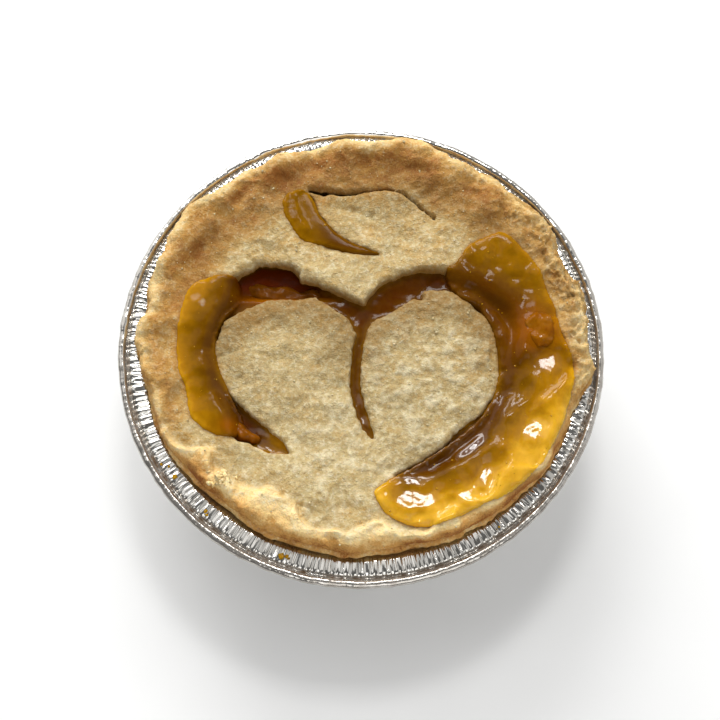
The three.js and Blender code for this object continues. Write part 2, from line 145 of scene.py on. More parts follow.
# Each dent is x, y, depth, length, width and heading in degrees; a negative depth is a flake that stands up
DENTS = [
    (-43.5, 24.5, 1.5, 3.4, 1.5, 70),
    (-33.5, 40, 1.3, 4.2, 1.7, 50),
    (-21, 46, 0.9, 4, 2.2, 20),
    (0.5, 51.5, 1.2, 4.6, 1.8, 0),
    (15, 48.5, 1.1, 4.6, 1.6, -12),
    (30, 41, 1.2, 3.2, 1.6, -30),
    (-37, -36, 1, 5, 2.4, -45),
    (-20, -43, 0.7, 7, 3.4, -20),
    (-3, -45, 0.9, 4, 2.6, 0),
    (13, -53.5, 1.2, 5, 1.8, 10),
    (-55, -17, 0.8, 3.4, 2, -75),
    (-34.2, -37.6, -0.8, 2.6, 1.8, -40),
    (56.5, -3, -0.9, 3.4, 2, 80),
    (52, 27, -0.8, 3.6, 2, 60),
    (53, -8.5, 1.1, 3.4, 1, 35),
    (55.2, 9, 0.8, 3, 1.2, 75),
    (3, 42, -0.5, 9, 5, 0),
]
print(len(HOLE_RUNS), "runs round the peach,", len(DENTS), "dents and flakes")

# %% [markdown]
# ## Curves, distances and roughness
# Three small tools do most of the work. One draws a smooth curve through a few places. One says how far
# each spot is from an outline, which turns "2 mm in from the edge" into a number. One gives natural
# roughness, from a fractal noise that is the same at every run. Soft steps and humps then lead from one
# height or shade to the next, because dough and gel have no hard edges.

# %% Smooth curves through a few places
def smooth_curve(places, closed=False, spacing=0.5):
    points = np.array(places, float)
    if closed:
        points = np.vstack([points[-1], points, points[:2]])
    else:
        points = np.vstack([2 * points[0] - points[1], points, 2 * points[-1] - points[-2]])
    run = []
    for before, here, after, beyond in zip(points, points[1:], points[2:], points[3:]):
        steps = max(2, int(np.linalg.norm(after - here) / spacing))
        t = (np.arange(steps) / steps)[:, None]
        bend = 2 * before - 5 * here + 4 * after - beyond
        twist = 3 * here - before - 3 * after + beyond
        run.append(here + 0.5 * t * (after - before + t * (bend + t * twist)))
    return np.vstack(run)


def joined_curve(runs):
    return np.vstack([smooth_curve(run) for run in runs])


# %% Distances from outlines
def distance(line, x, y, closed=False):
    ends = np.roll(line, -1, axis=0) if closed else line[1:]
    starts = line if closed else line[:-1]
    nearest = np.full(x.shape, np.inf)
    for (ax, ay), (bx, by) in zip(starts, ends):
        dx, dy = bx - ax, by - ay
        share = np.clip(((x - ax) * dx + (y - ay) * dy) / (dx * dx + dy * dy + 1e-12), 0, 1)
        nearest = np.minimum(nearest, np.hypot(x - ax - share * dx, y - ay - share * dy))
    return nearest


def depth_inside(outline, x, y):
    inside = np.zeros(x.shape, bool)
    for (ax, ay), (bx, by) in zip(outline, np.roll(outline, -1, axis=0)):
        crosses = (ay > y) != (by > y)
        if ay != by:
            inside ^= crosses & (x < ax + (bx - ax) * (y - ay) / (by - ay))
    return np.where(inside, 1, -1) * distance(outline, x, y, closed=True)


# %% Roughness
def rough(points, size, octaves=3, shift=0.0):
    scale = 1 / size
    return np.array([noise.fractal(Vector(p) * scale + Vector((shift, shift, shift)), 1.0, 2.0, octaves)
                     for p in points])


def rough_plan(x, y, size, octaves=3, shift=0.0):
    points = np.stack([x, y, np.zeros_like(x)], axis=-1).reshape(-1, 3)
    return rough(points, size, octaves, shift).reshape(x.shape)


# %% Soft steps
def ease(value, low, high):
    share = np.clip((value - low) / (high - low), 0, 1)
    return share * share * (3 - 2 * share)


def fade(value, low, high):
    return 1 - ease(value, low, high)


def blend(a, b, share):
    return a + (b - a) * share


# %% Humps, and places seen from a turned direction
def bell(value, middle, width):
    return np.exp(-(((value - middle) / width) ** 2))


def hump(x, y, middle, reach):
    return np.exp(-((x - middle[0]) ** 2 + (y - middle[1]) ** 2) / reach ** 2)


def oval(x, y, middle, reach):
    return np.exp(-(((x - middle[0]) / reach[0]) ** 2) - ((y - middle[1]) / reach[1]) ** 2)


def turned_about(x, y, middle, heading):
    cosine, sine = math.cos(math.radians(heading)), math.sin(math.radians(heading))
    along = (x - middle[0]) * cosine + (y - middle[1]) * sine
    return along, (y - middle[1]) * cosine - (x - middle[0]) * sine


# %% The part that two fields share, with a soft edge
def overlap_of(a, b, soft):
    share = np.clip(0.5 + 0.5 * (a - b) / soft, 0, 1)
    return blend(b, a, share) + soft * share * (1 - share)


# %% [markdown]
# ## A skin over a field
# Dough and gel have soft, rounded shapes that run into each other. They are easiest to describe as a field:
# a number at each spot of a fine grid that is below zero inside the stuff. The skin is then laid where the
# number passes through zero, with one point in each little cube that the surface crosses. Modelling by hand
# or a remesh of cut solids would do it too, but the field keeps the crust, its cuts and the gel in exact
# register.

# %% Lay a skin where the field is zero
def skin_of(field, corner, step):
    inside = field < 0
    cube = [(i, j, k) for i in (0, 1) for j in (0, 1) for k in (0, 1)]
    shape = tuple(n - 1 for n in field.shape)

    def at(values, offset):
        return values[tuple(slice(o, o + n) for o, n in zip(offset, shape))]

    count = sum(at(inside, c).astype(np.int8) for c in cube)
    cells = np.argwhere((count > 0) & (count < 8))
    values = {c: field[tuple((cells + c).T)] for c in cube}
    total = np.zeros(cells.shape)
    crossings = np.zeros(len(cells))
    for a in cube:
        for axis in range(3):
            if a[axis]:
                continue
            b = tuple(v + (n == axis) for n, v in enumerate(a))
            crossed = (values[a] < 0) != (values[b] < 0)
            share = np.where(crossed, values[a] / np.where(crossed, values[a] - values[b], 1), 0)
            total += np.where(crossed[:, None], np.array(a) + share[:, None] * np.eye(3)[axis], 0)
            crossings += crossed
    points = np.array(corner) + step * (cells + total / crossings[:, None])
    number = np.full(shape, -1)
    number[tuple(cells.T)] = np.arange(len(cells))
    quads = []
    for axis in range(3):
        one, two = [d for d in range(3) if d != axis]
        here = np.moveaxis(inside, (axis, one, two), (0, 1, 2))
        cell = np.moveaxis(number, (axis, one, two), (0, 1, 2))
        edge = here[:-1, 1:-1, 1:-1] != here[1:, 1:-1, 1:-1]
        i, j, k = np.argwhere(edge).T
        around = np.stack([cell[i, j, k], cell[i, j + 1, k], cell[i, j + 1, k + 1], cell[i, j, k + 1]],
                          axis=1)
        outward = here[:-1, 1:-1, 1:-1][i, j, k] ^ (axis == 1)
        quads.append(np.where(outward[:, None], around, around[:, ::-1]))
    return points, np.vstack(quads)


# %% Turn points into a piece
def piece(name, points, faces, material, paints):
    mesh = bpy.data.meshes.new(name)
    mesh.from_pydata((np.asarray(points) * MM).tolist(), [], [list(map(int, face)) for face in faces])
    mesh.shade_smooth()
    for label, values in paints.items():
        mesh.attributes.new(label, "FLOAT", "POINT").data.foreach_set("value", np.asarray(values, np.float32))
    mesh.materials.append(material)
    made = bpy.data.objects.new(name, mesh)
    bpy.context.collection.objects.link(made)
    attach(made, "root")
    print(f"{name}: {len(mesh.vertices)} points, {len(mesh.polygons)} faces")
    return made


def ring_points(angles, radius, height):
    radius, height = np.broadcast_to(radius, angles.shape), np.broadcast_to(height, angles.shape)
    return np.column_stack([radius * np.cos(angles), radius * np.sin(angles), height])


def ring_faces(rows, columns):
    number = np.arange(rows * columns).reshape(rows, columns)
    beside = np.roll(number, -1, axis=1)
    faces = np.stack([number[:-1], beside[:-1], beside[1:], number[1:]], axis=-1).reshape(-1, 4).tolist()
    return faces + [number[0, ::-1].tolist(), number[-1].tolist()]


def pushed_out(points, faces, amounts):
    mesh = bpy.data.meshes.new("push")
    mesh.from_pydata(points.tolist(), [], [list(map(int, face)) for face in faces])
    normals = np.zeros(len(points) * 3, np.float32)
    mesh.vertices.foreach_get("normal", normals)
    bpy.data.meshes.remove(mesh)
    return points + normals.reshape(-1, 3) * np.asarray(amounts)[:, None]


# %% [markdown]
# ## The plan of the pie
# Before any pastry is made, every height and distance is worked out once on a flat plan, as a baker marks
# out the cuts on the rolled dough. The lid, the gel and all the colours read from the same plan.

# %% Draw the plan
reach = PASTRY_RADIUS + 4.5
marks = np.arange(-reach, reach + STEP, STEP)
X, Y = np.meshgrid(marks, marks, indexing="ij")
wander_x = X + 0.3 * rough_plan(X, Y, 2.6, shift=3.1) + 0.25 * rough_plan(X, Y, 1.1, shift=5.7)
wander_y = Y + 0.3 * rough_plan(X, Y, 2.6, shift=8.4) + 0.25 * rough_plan(X, Y, 1.1, shift=1.2)
hole_line = joined_curve(HOLE_RUNS)
leaf_line = joined_curve(LEAF_SLIT_RUNS)
peach_line = smooth_curve([*HOLE_RUNS[7], *HOLE_RUNS[5][1:], *HOLE_RUNS[6][1:-1]], closed=True)
in_hole = depth_inside(hole_line, wander_x, wander_y)
in_leaf_slit = depth_inside(leaf_line, wander_x, wander_y)
from_leaf_cut = distance(smooth_curve(LEAF_CUT), wander_x, wander_y)
in_peach = depth_inside(peach_line, X, Y)
wobble_x = X + 0.25 * rough_plan(X, Y, 4, 2, 15.5)
wobble_y = Y + 0.25 * rough_plan(X, Y, 4, 2, 17.5)
left_inward, right_inward, leaf_inward = (depth_inside(smooth_curve(front, closed=True), wobble_x, wobble_y)
                                          for front in (LEFT_SPILL, RIGHT_SPILL, LEAF_SPILL))
spill_near = np.maximum(np.maximum(left_inward, right_inward), leaf_inward)
print("the plan has", X.size, "marks,", STEP, "mm apart")


# %% The edge of the pastry, by angle
def edge_radius(angle, shift=0.0):
    degrees = np.degrees(angle) % 360
    i = np.clip(np.searchsorted(EDGE_BULGES[:, 0], degrees, side="right") - 1, 0, len(EDGE_BULGES) - 2)
    low, high = EDGE_BULGES[i], EDGE_BULGES[i + 1]
    bulge = blend(low[..., 1], high[..., 1], ease(degrees, low[..., 0], high[..., 0]))
    ripple = [noise.fractal(Vector((11 * math.cos(a), 11 * math.sin(a), shift)), 1.0, 2.0, 3)
              for a in angle.ravel()]
    return PASTRY_RADIUS + bulge + 0.5 * np.array(ripple).reshape(angle.shape)


def by_angle(angle, size, shift):
    values = [noise.noise(Vector((size * math.cos(a), size * math.sin(a), shift))) for a in angle.ravel()]
    return np.array(values).reshape(angle.shape)


ANGLE = np.arctan2(Y, X)
RADIUS = np.hypot(X, Y)
from_edge = edge_radius(ANGLE) - RADIUS

# %% Heights of the lid
def groove(line, width, depth):
    return depth * bell(distance(smooth_curve(line), wander_x, wander_y), 0, width)


sunk = ease(in_peach, -2, 4)
puffy_part = hump(X, Y, (20, -12), 20) + 0.7 * hump(X, Y, (-8, -38), 16)
blisters = (0.3 + puffy_part) * np.clip(rough_plan(X, Y, 2.5, 3, 44.4) + 0.02, 0, 0.5)
puffs = 1.15 * rough_plan(X, Y, 10, 2, 4.4) * (1 - 0.5 * sunk)
puffs += 0.5 * rough_plan(X, Y, 4.2, 2, 9.9) + 0.17 * rough_plan(X, Y, 1.9, 2, 14.9) + 0.6 * blisters
lobe_dome = sunk * 0.9 * (1 - np.exp(np.minimum(in_hole, 0) / 3.5)) - 0.45 * sunk
dents = np.zeros_like(X)
for at_x, at_y, deep, length, width, heading in DENTS:
    along, across = turned_about(X, Y, (at_x, at_y), heading)
    dents += deep * oval(along, across, (0, 0), (length, width))
lid_top = (LID_LEVEL - LOBE_SINK * sunk + puffs + lobe_dome - dents
           - groove(LEAF_VEIN, 0.8, 0.45) - groove(LOBE_SCORE, 0.45, 0.4) - groove(NEAR_CRACK, 0.4, 0.9))
on_shelf = ease(RADIUS, SHELF_FROM, SHELF_TO)
lid_under = blend(LID_LEVEL - LID_THICKNESS - LOBE_SINK * sunk, SEAM_HEIGHT + GAP, on_shelf)
print("flat of the lid from", round(float(lid_top.min()), 1), "to", round(float(lid_top.max()), 1), "mm")

# %% [markdown]
# ## The lid
# The lid is a disc of dough about 3.6 mm thick. Its rim was rolled under and pressed by hand, so it stands
# above the rest in a wavy ridge: broad and soft at the far side, with a sharp inner side at the near one.
# The cuts have soft, slightly slanting sides. It is one plate between two maps of heights, less the cuts.

# %% The rolled rim
near = ease(-np.sin(ANGLE), -0.2, 0.75)
bulge = edge_radius(ANGLE) - PASTRY_RADIUS
crest_in = blend(3.4, 4.6, near) + blend(3.0, 5.5, near) * by_angle(ANGLE, 4.1, 0.7)
broad_fold = bell(np.degrees(ANGLE) % 360, 254, 20)
crest_in = (crest_in + 2.4 * by_angle(ANGLE, 9.5, 1.9) + 0.35 * bulge + 3 * broad_fold).clip(1.6, 9)
round_rim = np.stack([PASTRY_RADIUS * np.cos(ANGLE), PASTRY_RADIUS * np.sin(ANGLE), 1.6 * from_edge], axis=-1)
folded = 1 - 2.8 * np.abs(rough(round_rim.reshape(-1, 3), 10, 2, 62.3).reshape(X.shape))
crest_rise = 2.3 + 1.2 * near + 0.3 * bulge + 3.4 * by_angle(ANGLE, 5.8, 2.2)
crest_rise += 2.4 * by_angle(ANGLE, 11.5, 5.5)
crest_rise += 1.5 * np.clip(folded, -0.5, 1) * blend(0.35, 1, near) - 0.5 * near
crest_rise = (crest_rise + 0.9 * rough_plan(X, Y, 4.6, 2, 35.5)).clip(0.6, 4.3)
inner_drop = blend(8.5, 1.8, near) * (1 + 0.8 * by_angle(ANGLE, 6.1, 8.8))
up_slope = np.clip(from_edge / crest_in, 0, 1)
outer_side = blend(1 - (1 - up_slope) ** 2, up_slope, 0.3 + 0.6 * near)
inner_side = fade(from_edge, crest_in, crest_in + inner_drop)
ridge = crest_rise * np.where(from_edge < crest_in, outer_side, inner_side)
lid_top = lid_top + ridge - blend(1.3, 2, near) * fade(from_edge, 0, blend(2.2, 3.2, near))
thinnest = blend(0.5, 1.2, ease(from_edge, 0.5, 3.5))
lid_top -= 0.5 * np.maximum(lid_top - LID_SOFT_TOP, 0)
lid_top = np.minimum(np.maximum(lid_top, lid_under + thinnest), LID_HIGHEST - 0.5)
print("the rim's ridge rises to", round(float(lid_top.max()), 1), "mm")

# %% The lid as a field
slant = 0.14 + 0.42 * np.exp(-((X - 15) ** 2 + (Y + 31) ** 2) / 90)
leaf_cut_width = 0.42 + 0.3 * ease(-X, -4, 8)
cut = np.maximum(np.maximum(in_hole, in_leaf_slit), leaf_cut_width - from_leaf_cut)


def lid_field(z):
    plate = overlap_of(z - lid_top, lid_under - z, 0.6)
    plate = overlap_of(plate, blend(0.5, 0.7, near) - from_edge, 1.1)
    return overlap_of(plate, cut - slant * np.clip(lid_top - z, 0, LID_THICKNESS), 0.8)


levels = np.arange(LID_LEVEL - LID_THICKNESS - LOBE_SINK - 3 * STEP, LID_HIGHEST + 1.5, STEP)
field = np.stack([lid_field(z) for z in levels], axis=-1)
lid_points, lid_faces = skin_of(field, (marks[0], marks[0], levels[0]), STEP)
print("the lid's skin has", len(lid_points), "points")


# %% Read the plan at any place
def read_plan(plan, points):
    across, up = (np.clip((points[:, n] - marks[0]) / STEP, 0, len(marks) - 1.001) for n in (0, 1))
    i, j = across.astype(int), up.astype(int)
    this_row = blend(plan[i, j], plan[i + 1, j], across - i)
    next_row = blend(plan[i, j + 1], plan[i + 1, j + 1], across - i)
    return blend(this_row, next_row, up - j)


# %% Crumb on the lid
on_top = ease(lid_points[:, 2] - read_plan(lid_under, lid_points), 0.2, 1.2)
crumb = 0.15 * rough(lid_points, 1.7, 3, 2.5) + 0.1 * rough(lid_points, 0.9, 2, 7.7)
at_rim = fade(read_plan(from_edge, lid_points), 4, 10)
flaky = bell(np.arctan2(lid_points[:, 1], lid_points[:, 0]), 0.3, 0.5)
spill_here = read_plan(spill_near, lid_points)
clear_of_gel = fade(spill_here, -1, 0.5)
crags = np.clip(rough(lid_points, 2.4, 4, 6.1) - 0.1, 0, 1) * clear_of_gel
crags *= 0.15 + at_rim * (0.4 + 2.2 * flaky)
layers = lid_points * (1, 1, 2.4) + 1.6 * rough(lid_points, 5, 2, 64.2)[:, None]
torn = np.abs(rough(layers, 3.4, 3, 66.6)) * at_rim * flaky * clear_of_gel
relief = fade(spill_here, -0.3, 0.8) * crumb + 0.8 * crags - 2.6 * torn - 0.07
lid_points = pushed_out(lid_points, lid_faces, on_top * relief)
print("crumb stands", round(float(np.abs(crumb).max()), 2), "mm at most")

# %% [markdown]
# ## Lighten what is out of sight
# Nobody sees the underside of the lid or of the gel, yet the skin gives it as many points as the top.
# Points there are gathered into wide groups and each group becomes one point, so the piece stays closed and
# light.

# %% Gather points that are out of sight
# No hidden point has this number, so each point in view stays in a group of its own
ALONE = 9999


def gathered(points, faces, hidden, group=2.4):
    keys = np.round(points / group).astype(int)
    seen = np.flatnonzero(~hidden)
    keys[seen] = np.column_stack([seen, np.full(len(seen), ALONE), seen])
    _, place = np.unique(keys, axis=0, return_inverse=True)
    place = place.ravel()
    counts = np.bincount(place)
    merged = np.column_stack([np.bincount(place, points[:, n]) / counts for n in range(3)])
    kept = []
    for face in faces:
        corners = place[face]
        corners = [a for n, a in enumerate(corners) if a != corners[n - 1]]
        if len(corners) > 2 and len(set(corners)) == len(corners):
            kept.append(corners)
    return merged, kept


# Hidden here means close above the underside, 1 mm or more from a cut and 2.5 mm or more from the edge
deep_down = lid_points[:, 2] < read_plan(lid_under, lid_points) + 0.35
deep_down &= read_plan(cut, lid_points) < -1
deep_down &= read_plan(from_edge, lid_points) > 2.5
lid_points, lid_faces = gathered(lid_points, lid_faces, deep_down)
print("the lid is down to", len(lid_points), "points")

# %% [markdown]
# ## The gel
# Peach juice boiled with starch is a thick clear gel. It stands a little below the pastry inside the cuts,
# climbs the sides, and where it boiled over it lies on the crust in a layer with a round front: smooth on
# the left and at the far right, in lumps and ropes at the near right. Its surface is one height for each
# mark of the plan. A few patches of it settled flat, tilted to the light, and shine there: these gleams are
# worked into the surface.

# %% The surface that the gel lies on
def top_of(stack, heights):
    inside = stack < 0
    last = inside.shape[2] - 1 - np.argmax(inside[:, :, ::-1], axis=2)
    last = np.minimum(last, inside.shape[2] - 2)
    i, j = np.indices(last.shape)
    low, high = stack[i, j, last], stack[i, j, last + 1]
    share = np.clip(low / (low - high + 1e-9), 0, 1)
    return np.where(inside.any(axis=2), heights[last] + share * STEP, np.nan)


lid_surface = top_of(field, levels)
bare = np.isnan(lid_surface) | (cut > -0.3)
lid_surface = np.where(bare, lid_top, lid_surface)
print("the crust's highest ridge is at", round(float(np.nanmax(lid_surface)), 2), "mm")

# %% The level of the gel inside the cuts
CAVE_AT, CAVE_REACH, CAVE_DEPTH = (-21, 17.5), 13, 2.6
SINKS = [
    # x, y, reach, how much lower the gel stands there
    (-31, -23, 7, 1.6),
    (17, -33, 7, 1.4),
    (-1, -12, 9, 0.4),
    (18, 16, 6, 0.5),
]
cave = np.exp(-(((X - CAVE_AT[0]) / CAVE_REACH) ** 4)) * ease(Y, CAVE_AT[1] - 7, CAVE_AT[1] - 4)
pool = LID_LEVEL - LOBE_SINK - 2.3 - CAVE_DEPTH * cave + 0.25 * rough_plan(X, Y, 5, 2, 12.5)
for sink_x, sink_y, sink_reach, sink_depth in SINKS:
    pool -= sink_depth * hump(X, Y, (sink_x, sink_y), sink_reach)
pool += blend(0.8, 0.25, ease(Y, -4, 8)) * np.exp(-np.maximum(in_hole, 0) / 0.6) * (1 - cave)
print("the gel in the cuts stands from", round(float(pool[in_hole > 0].min()), 1), "mm up")


# %% The spilled layers
def layer_of(inward, thickness, front, lumps=0.0):
    share = np.clip(inward / front, 0, 1)
    return (thickness + lumps) * np.sqrt(1 - (1 - share) ** 2)


ropes = 1 - np.abs(rough_plan(2.1 * RADIUS, 30 * ANGLE, 7.5, 2, 21.5)) * 2.4
lumps = 1.3 * rough_plan(X, Y, 9, 1, 19.1) + 0.3 * rough_plan(X, Y, 4.2, 2, 29.1)
lumps += 0.8 * np.clip(ropes, 0, 1) ** 2
lumps *= ease(-Y + 0.2 * X, -6, 8)
left_layer = layer_of(left_inward, 1.0, 3.0, 0.2 * rough_plan(X, Y, 6, 2, 23.3))
right_layer = layer_of(right_inward, 1.0 + 0.5 * ease(-Y, -16, 2), 3.6, lumps)
leaf_layer = layer_of(leaf_inward, 0.35, 2.0, 0.1 * rough_plan(X, Y, 5, 2, 27.3))
CHUNK_AT, CHUNK_REACH = (45.6, 1.2), 6.2
chunk_hump = 1.3 * hump(X, Y, CHUNK_AT, CHUNK_REACH)
print("the right spill is up to", round(float(right_layer.max()), 1), "mm thick")

# %% One surface for all the gel
# How far the gel reaches under the edges of the cuts and down into the crust, and how deep it fills a cut
TUCKED_IN, SOAKED_IN, POOL_DEPTH = 1.5, 0.7, 4.5
gel_top = np.where(in_hole > -TUCKED_IN, pool, lid_surface - SOAKED_IN)
ground = np.where(in_leaf_slit > -0.6, LID_LEVEL - 0.3, lid_surface)
rest = blend(ground, np.minimum(ground, LID_LEVEL + 0.2), 0.45)
for inward, layer, fall in ((left_inward, left_layer, 4.0), (right_inward, right_layer + chunk_hump, 6.0),
                            (leaf_inward, leaf_layer, 1.0)):
    over = np.maximum(rest + layer, ground + 0.35 * np.clip(inward / 1.2, 0, 1))
    over = np.where(in_hole > -TUCKED_IN, blend(over, pool, ease(in_hole, 0, fall)), over)
    gel_top = np.where(inward > 0, np.maximum(gel_top, over), gel_top)
calm = gel_top
for _ in range(4):
    calm = sum(np.roll(calm, shift, axis) for shift in (-1, 1) for axis in (0, 1)) / 4
gel_top = blend(gel_top, calm, ease(spill_near, 0.9, 1.6))

# %% Flat places that gleam
# Each gleam is x, y, half its length and width, heading in degrees, and how it slopes along x and along y
GLEAMS = [
    (13.8, -43, 5.6, 2.8, -8, 0.02, -0.25),
    (30.5, -37, 2.2, 4, -15, 0.07, -0.23),
    (25.6, -41.4, 2.8, 1.7, 5, 0.06, -0.24),
    (42.8, -25.6, 4.2, 3.6, 60, 0.11, -0.2),
    (47.6, -7.4, 3.2, 2.8, 0, 0.12, -0.16),
    (27.6, -29.2, 5, 1.5, 38, 0.06, -0.21),
    (13, -37.7, 3, 1.4, 0, 0.02, -0.24),
    (-24.7, -25, 1.6, 1, -30, -0.05, -0.22),
    (-0.5, -16, 0.6, 1.8, 10, 0, -0.2),
    (1, -22, 0.6, 1.6, 15, 0, -0.2),
]
gleaming = np.zeros_like(X)
for at_x, at_y, half_length, half_width, heading, tilt_x, tilt_y in GLEAMS:
    along, across = turned_about(X, Y, (at_x, at_y), heading)
    share = np.exp(-((along / half_length) ** 4) - (across / half_width) ** 4)
    middle = (gel_top * share).sum() / share.sum() + 0.15
    gel_top = blend(gel_top, middle + tilt_x * (X - at_x) + tilt_y * (Y - at_y), share)
    gel_top += share * (0.09 * rough_plan(X, Y, 1.9, 3, 57.2) - 0.2 * np.abs(rough_plan(X, Y, 3, 1, 58.8)))
    gleaming = np.maximum(gleaming, share)
gel_top += 0.02 * rough_plan(X, Y, 1.7, 2, 57.2)
print(len(GLEAMS), "gleams cover", round(float(gleaming.sum()) * STEP ** 2), "square mm")

# %% Top and underside of the gel
on_lid = (spill_near > 0.3) & (in_hole < -0.4) & (in_leaf_slit < -0.4)
gel_top = np.where(on_lid, np.maximum(gel_top, lid_surface + 0.3 * ease(spill_near, 0, 0.9)), gel_top)
gel_top -= 0.5 * np.maximum(gel_top - GEL_SOFT_TOP, 0)
gel_area = np.maximum(in_hole + TUCKED_IN, spill_near)
gel_under = np.where(in_hole > -1.2, pool - POOL_DEPTH, lid_surface - SOAKED_IN)
gel_under = np.where(in_leaf_slit > -0.6, LID_LEVEL - 3, gel_under)
print("the gel's highest place is at", round(float(gel_top[gel_area > 0].max()), 2), "mm")

# %% The gel as a field
gel_lowest, gel_highest = gel_under[gel_area > 0].min(), gel_top[gel_area > 0].max()
gel_levels = np.arange(gel_lowest - 2 * STEP, gel_highest + 3 * STEP, STEP)
slope_x, slope_y = np.gradient(gel_top, STEP)
steep = np.sqrt(1 + np.minimum(slope_x ** 2 + slope_y ** 2, 9))
gel_field = np.stack([np.maximum(np.maximum((z - gel_top) / steep, gel_under - z), -gel_area)
                      for z in gel_levels], axis=-1)
gel_points, gel_faces = skin_of(gel_field, (marks[0], marks[0], gel_levels[0]), STEP)
# Hidden here means 0.8 mm or more below the surface and 1.5 mm or more from a front
deep_down = gel_points[:, 2] < read_plan(gel_top, gel_points) - 0.8
deep_down &= read_plan(gel_area, gel_points) > 1.5
gel_points, gel_faces = gathered(gel_points, gel_faces, deep_down)
print("the gel's skin has", len(gel_points), "points")

# %% [markdown]
# ## Finishes
# Colours are given as the eye sees them, from 0 to 255, and turned into the linear light that shaders work
# in. Every finish is built from nodes at the real scale of its grain, so it needs no picture and looks
# right close by.

# %% Small helpers for finishes
def colour(red, green, blue):
    linear = [c / 12.92 if c <= 0.04045 else ((c + 0.055) / 1.055) ** 2.4
              for c in (red / 255, green / 255, blue / 255)]
    return (*linear, 1.0)


def new_finish(name):
    material = bpy.data.materials.new(name)
    material.use_nodes = True
    tree = material.node_tree
    return material, tree, tree.nodes["Principled BSDF"]


def feed(tree, sockets, values):
    for socket, value in zip(sockets, values):
        if isinstance(value, bpy.types.NodeSocket):
            tree.links.new(value, socket)
        else:
            socket.default_value = value


def dress(tree, node, values):
    feed(tree, [node.inputs[name] for name in values], values.values())


def grain(tree, size_mm, detail=3.0, roughness=0.55, distortion=0.0):
    place = tree.nodes.new("ShaderNodeTexCoord")
    made = tree.nodes.new("ShaderNodeTexNoise")
    dress(tree, made, {"Vector": place.outputs["Object"], "Scale": 1 / (size_mm * MM), "Detail": detail,
                       "Roughness": roughness, "Distortion": distortion})
    return made.outputs["Fac"]


def paint(tree, label):
    made = tree.nodes.new("ShaderNodeAttribute")
    made.attribute_name = label
    return made.outputs["Fac"]


def sums(tree, operation, a, b, clamp=False):
    made = tree.nodes.new("ShaderNodeMath")
    made.operation = operation
    made.use_clamp = clamp
    feed(tree, made.inputs, (a, b))
    return made.outputs[0]


def swayed(tree, value, noise_value, amount, clamp=False):
    sway = sums(tree, "MULTIPLY", sums(tree, "SUBTRACT", noise_value, 0.5), amount)
    return sums(tree, "ADD", value, sway, clamp)


# %% Helpers that turn numbers into colours and bumps
def ramp(tree, value, stops, smooth=True):
    made = tree.nodes.new("ShaderNodeValToRGB")
    made.color_ramp.interpolation = "EASE" if smooth else "LINEAR"
    elements = made.color_ramp.elements
    while len(elements) < len(stops):
        elements.new(0.5)
    for element, (position, shade) in zip(elements, stops):
        element.position = position
        element.color = colour(*shade) if isinstance(shade, tuple) else (shade, shade, shade, 1)
    tree.links.new(value, made.inputs[0])
    return made.outputs[0]


def mixed(tree, share, a, b, way="MIX"):
    made = tree.nodes.new("ShaderNodeMix")
    made.data_type = "RGBA"
    made.blend_type = way
    feed(tree, (made.inputs[0], made.inputs[6], made.inputs[7]), (share, a, b))
    return made.outputs[2]


def bumps(tree, shader, layers, socket="Normal"):
    normal = None
    for height, depth_mm, strength in layers:
        made = tree.nodes.new("ShaderNodeBump")
        dress(tree, made, {"Distance": depth_mm * MM, "Strength": strength, "Height": height})
        if normal:
            tree.links.new(normal, made.inputs["Normal"])
        normal = made.outputs[0]
    tree.links.new(normal, shader.inputs[socket])


# %% [markdown]
# ## Baked pastry
# Shortcrust is pale straw where it is thick and flat, and browns where it is thin or stands up to the heat.
# It is grainy with fat and flour, has whitish flecks, and goes dark and shiny where juice has soaked in.
# The places of browning and juice are painted on the points of the mesh, and the grain comes from noise.
# A second paint is painted shade: it darkens the sunken places where shade falls, such as the valley inside
# the far rim, the far ends of the lobes and the leaf, and adds some random greyer mottling.

# %% The pastry finish
pastry, tree, shader = new_finish("baked_pastry")
patches = grain(tree, 9, 4)
mottle = grain(tree, 2.4, 4, 0.6)
flour = grain(tree, 1.1, 3, 0.55)
fine = grain(tree, 0.45, 2, 0.5)
toast = swayed(tree, paint(tree, "browning"), patches, 0.29)
toast = swayed(tree, swayed(tree, toast, mottle, 0.24), fine, 0.5, clamp=True)
crust_colour = ramp(tree, toast, [
    (0.0, (202, 184, 138)),
    (0.28, (190, 166, 114)),
    (0.5, (187, 150, 85)),
    (0.75, (176, 128, 57)),
    (1.0, (150, 94, 34)),
], smooth=False)
# The light end of this tone is a painted highlight on the lit crest of the rim.
gold_and_highlight_tone = ramp(tree, toast, [
    (0.0, (255, 228, 168)),
    (0.35, (252, 214, 144)),
    (0.65, (220, 164, 88)),
    (1.0, (160, 96, 36)),
])

# %% Flour, pits and juice on the pastry
gold_and_highlight = mixed(tree, sums(tree, "MULTIPLY", paint(tree, "gold_and_highlight"), 0.9), crust_colour, gold_and_highlight_tone)
pale = sums(tree, "SUBTRACT", 1.0, toast)
flecks = ramp(tree, flour, [(0.48, 0.0), (0.66, 1.0)])
fleck_share = sums(tree, "ADD", sums(tree, "MULTIPLY", flecks, 0.65), paint(tree, "floury"), clamp=True)
floury = mixed(tree, sums(tree, "MULTIPLY", fleck_share, pale), gold_and_highlight, colour(226, 213, 176))
pits = ramp(tree, flour, [(0.3, 1.0), (0.5, 0.0)])
pitted = mixed(tree, sums(tree, "MULTIPLY", pits, 0.24), floury, colour(156, 120, 70))
# Painted shade: the crust is darkened and greyed where the shade paint is high.
shaded_crust = mixed(tree, paint(tree, "painted_shade"), pitted, (0.6, 0.57, 0.52, 1), "MULTIPLY")
soaked = mixed(tree, paint(tree, "wet"), shaded_crust, colour(150, 106, 40))
dryness = sums(tree, "SUBTRACT", 0.78, sums(tree, "MULTIPLY", paint(tree, "wet"), 0.45))
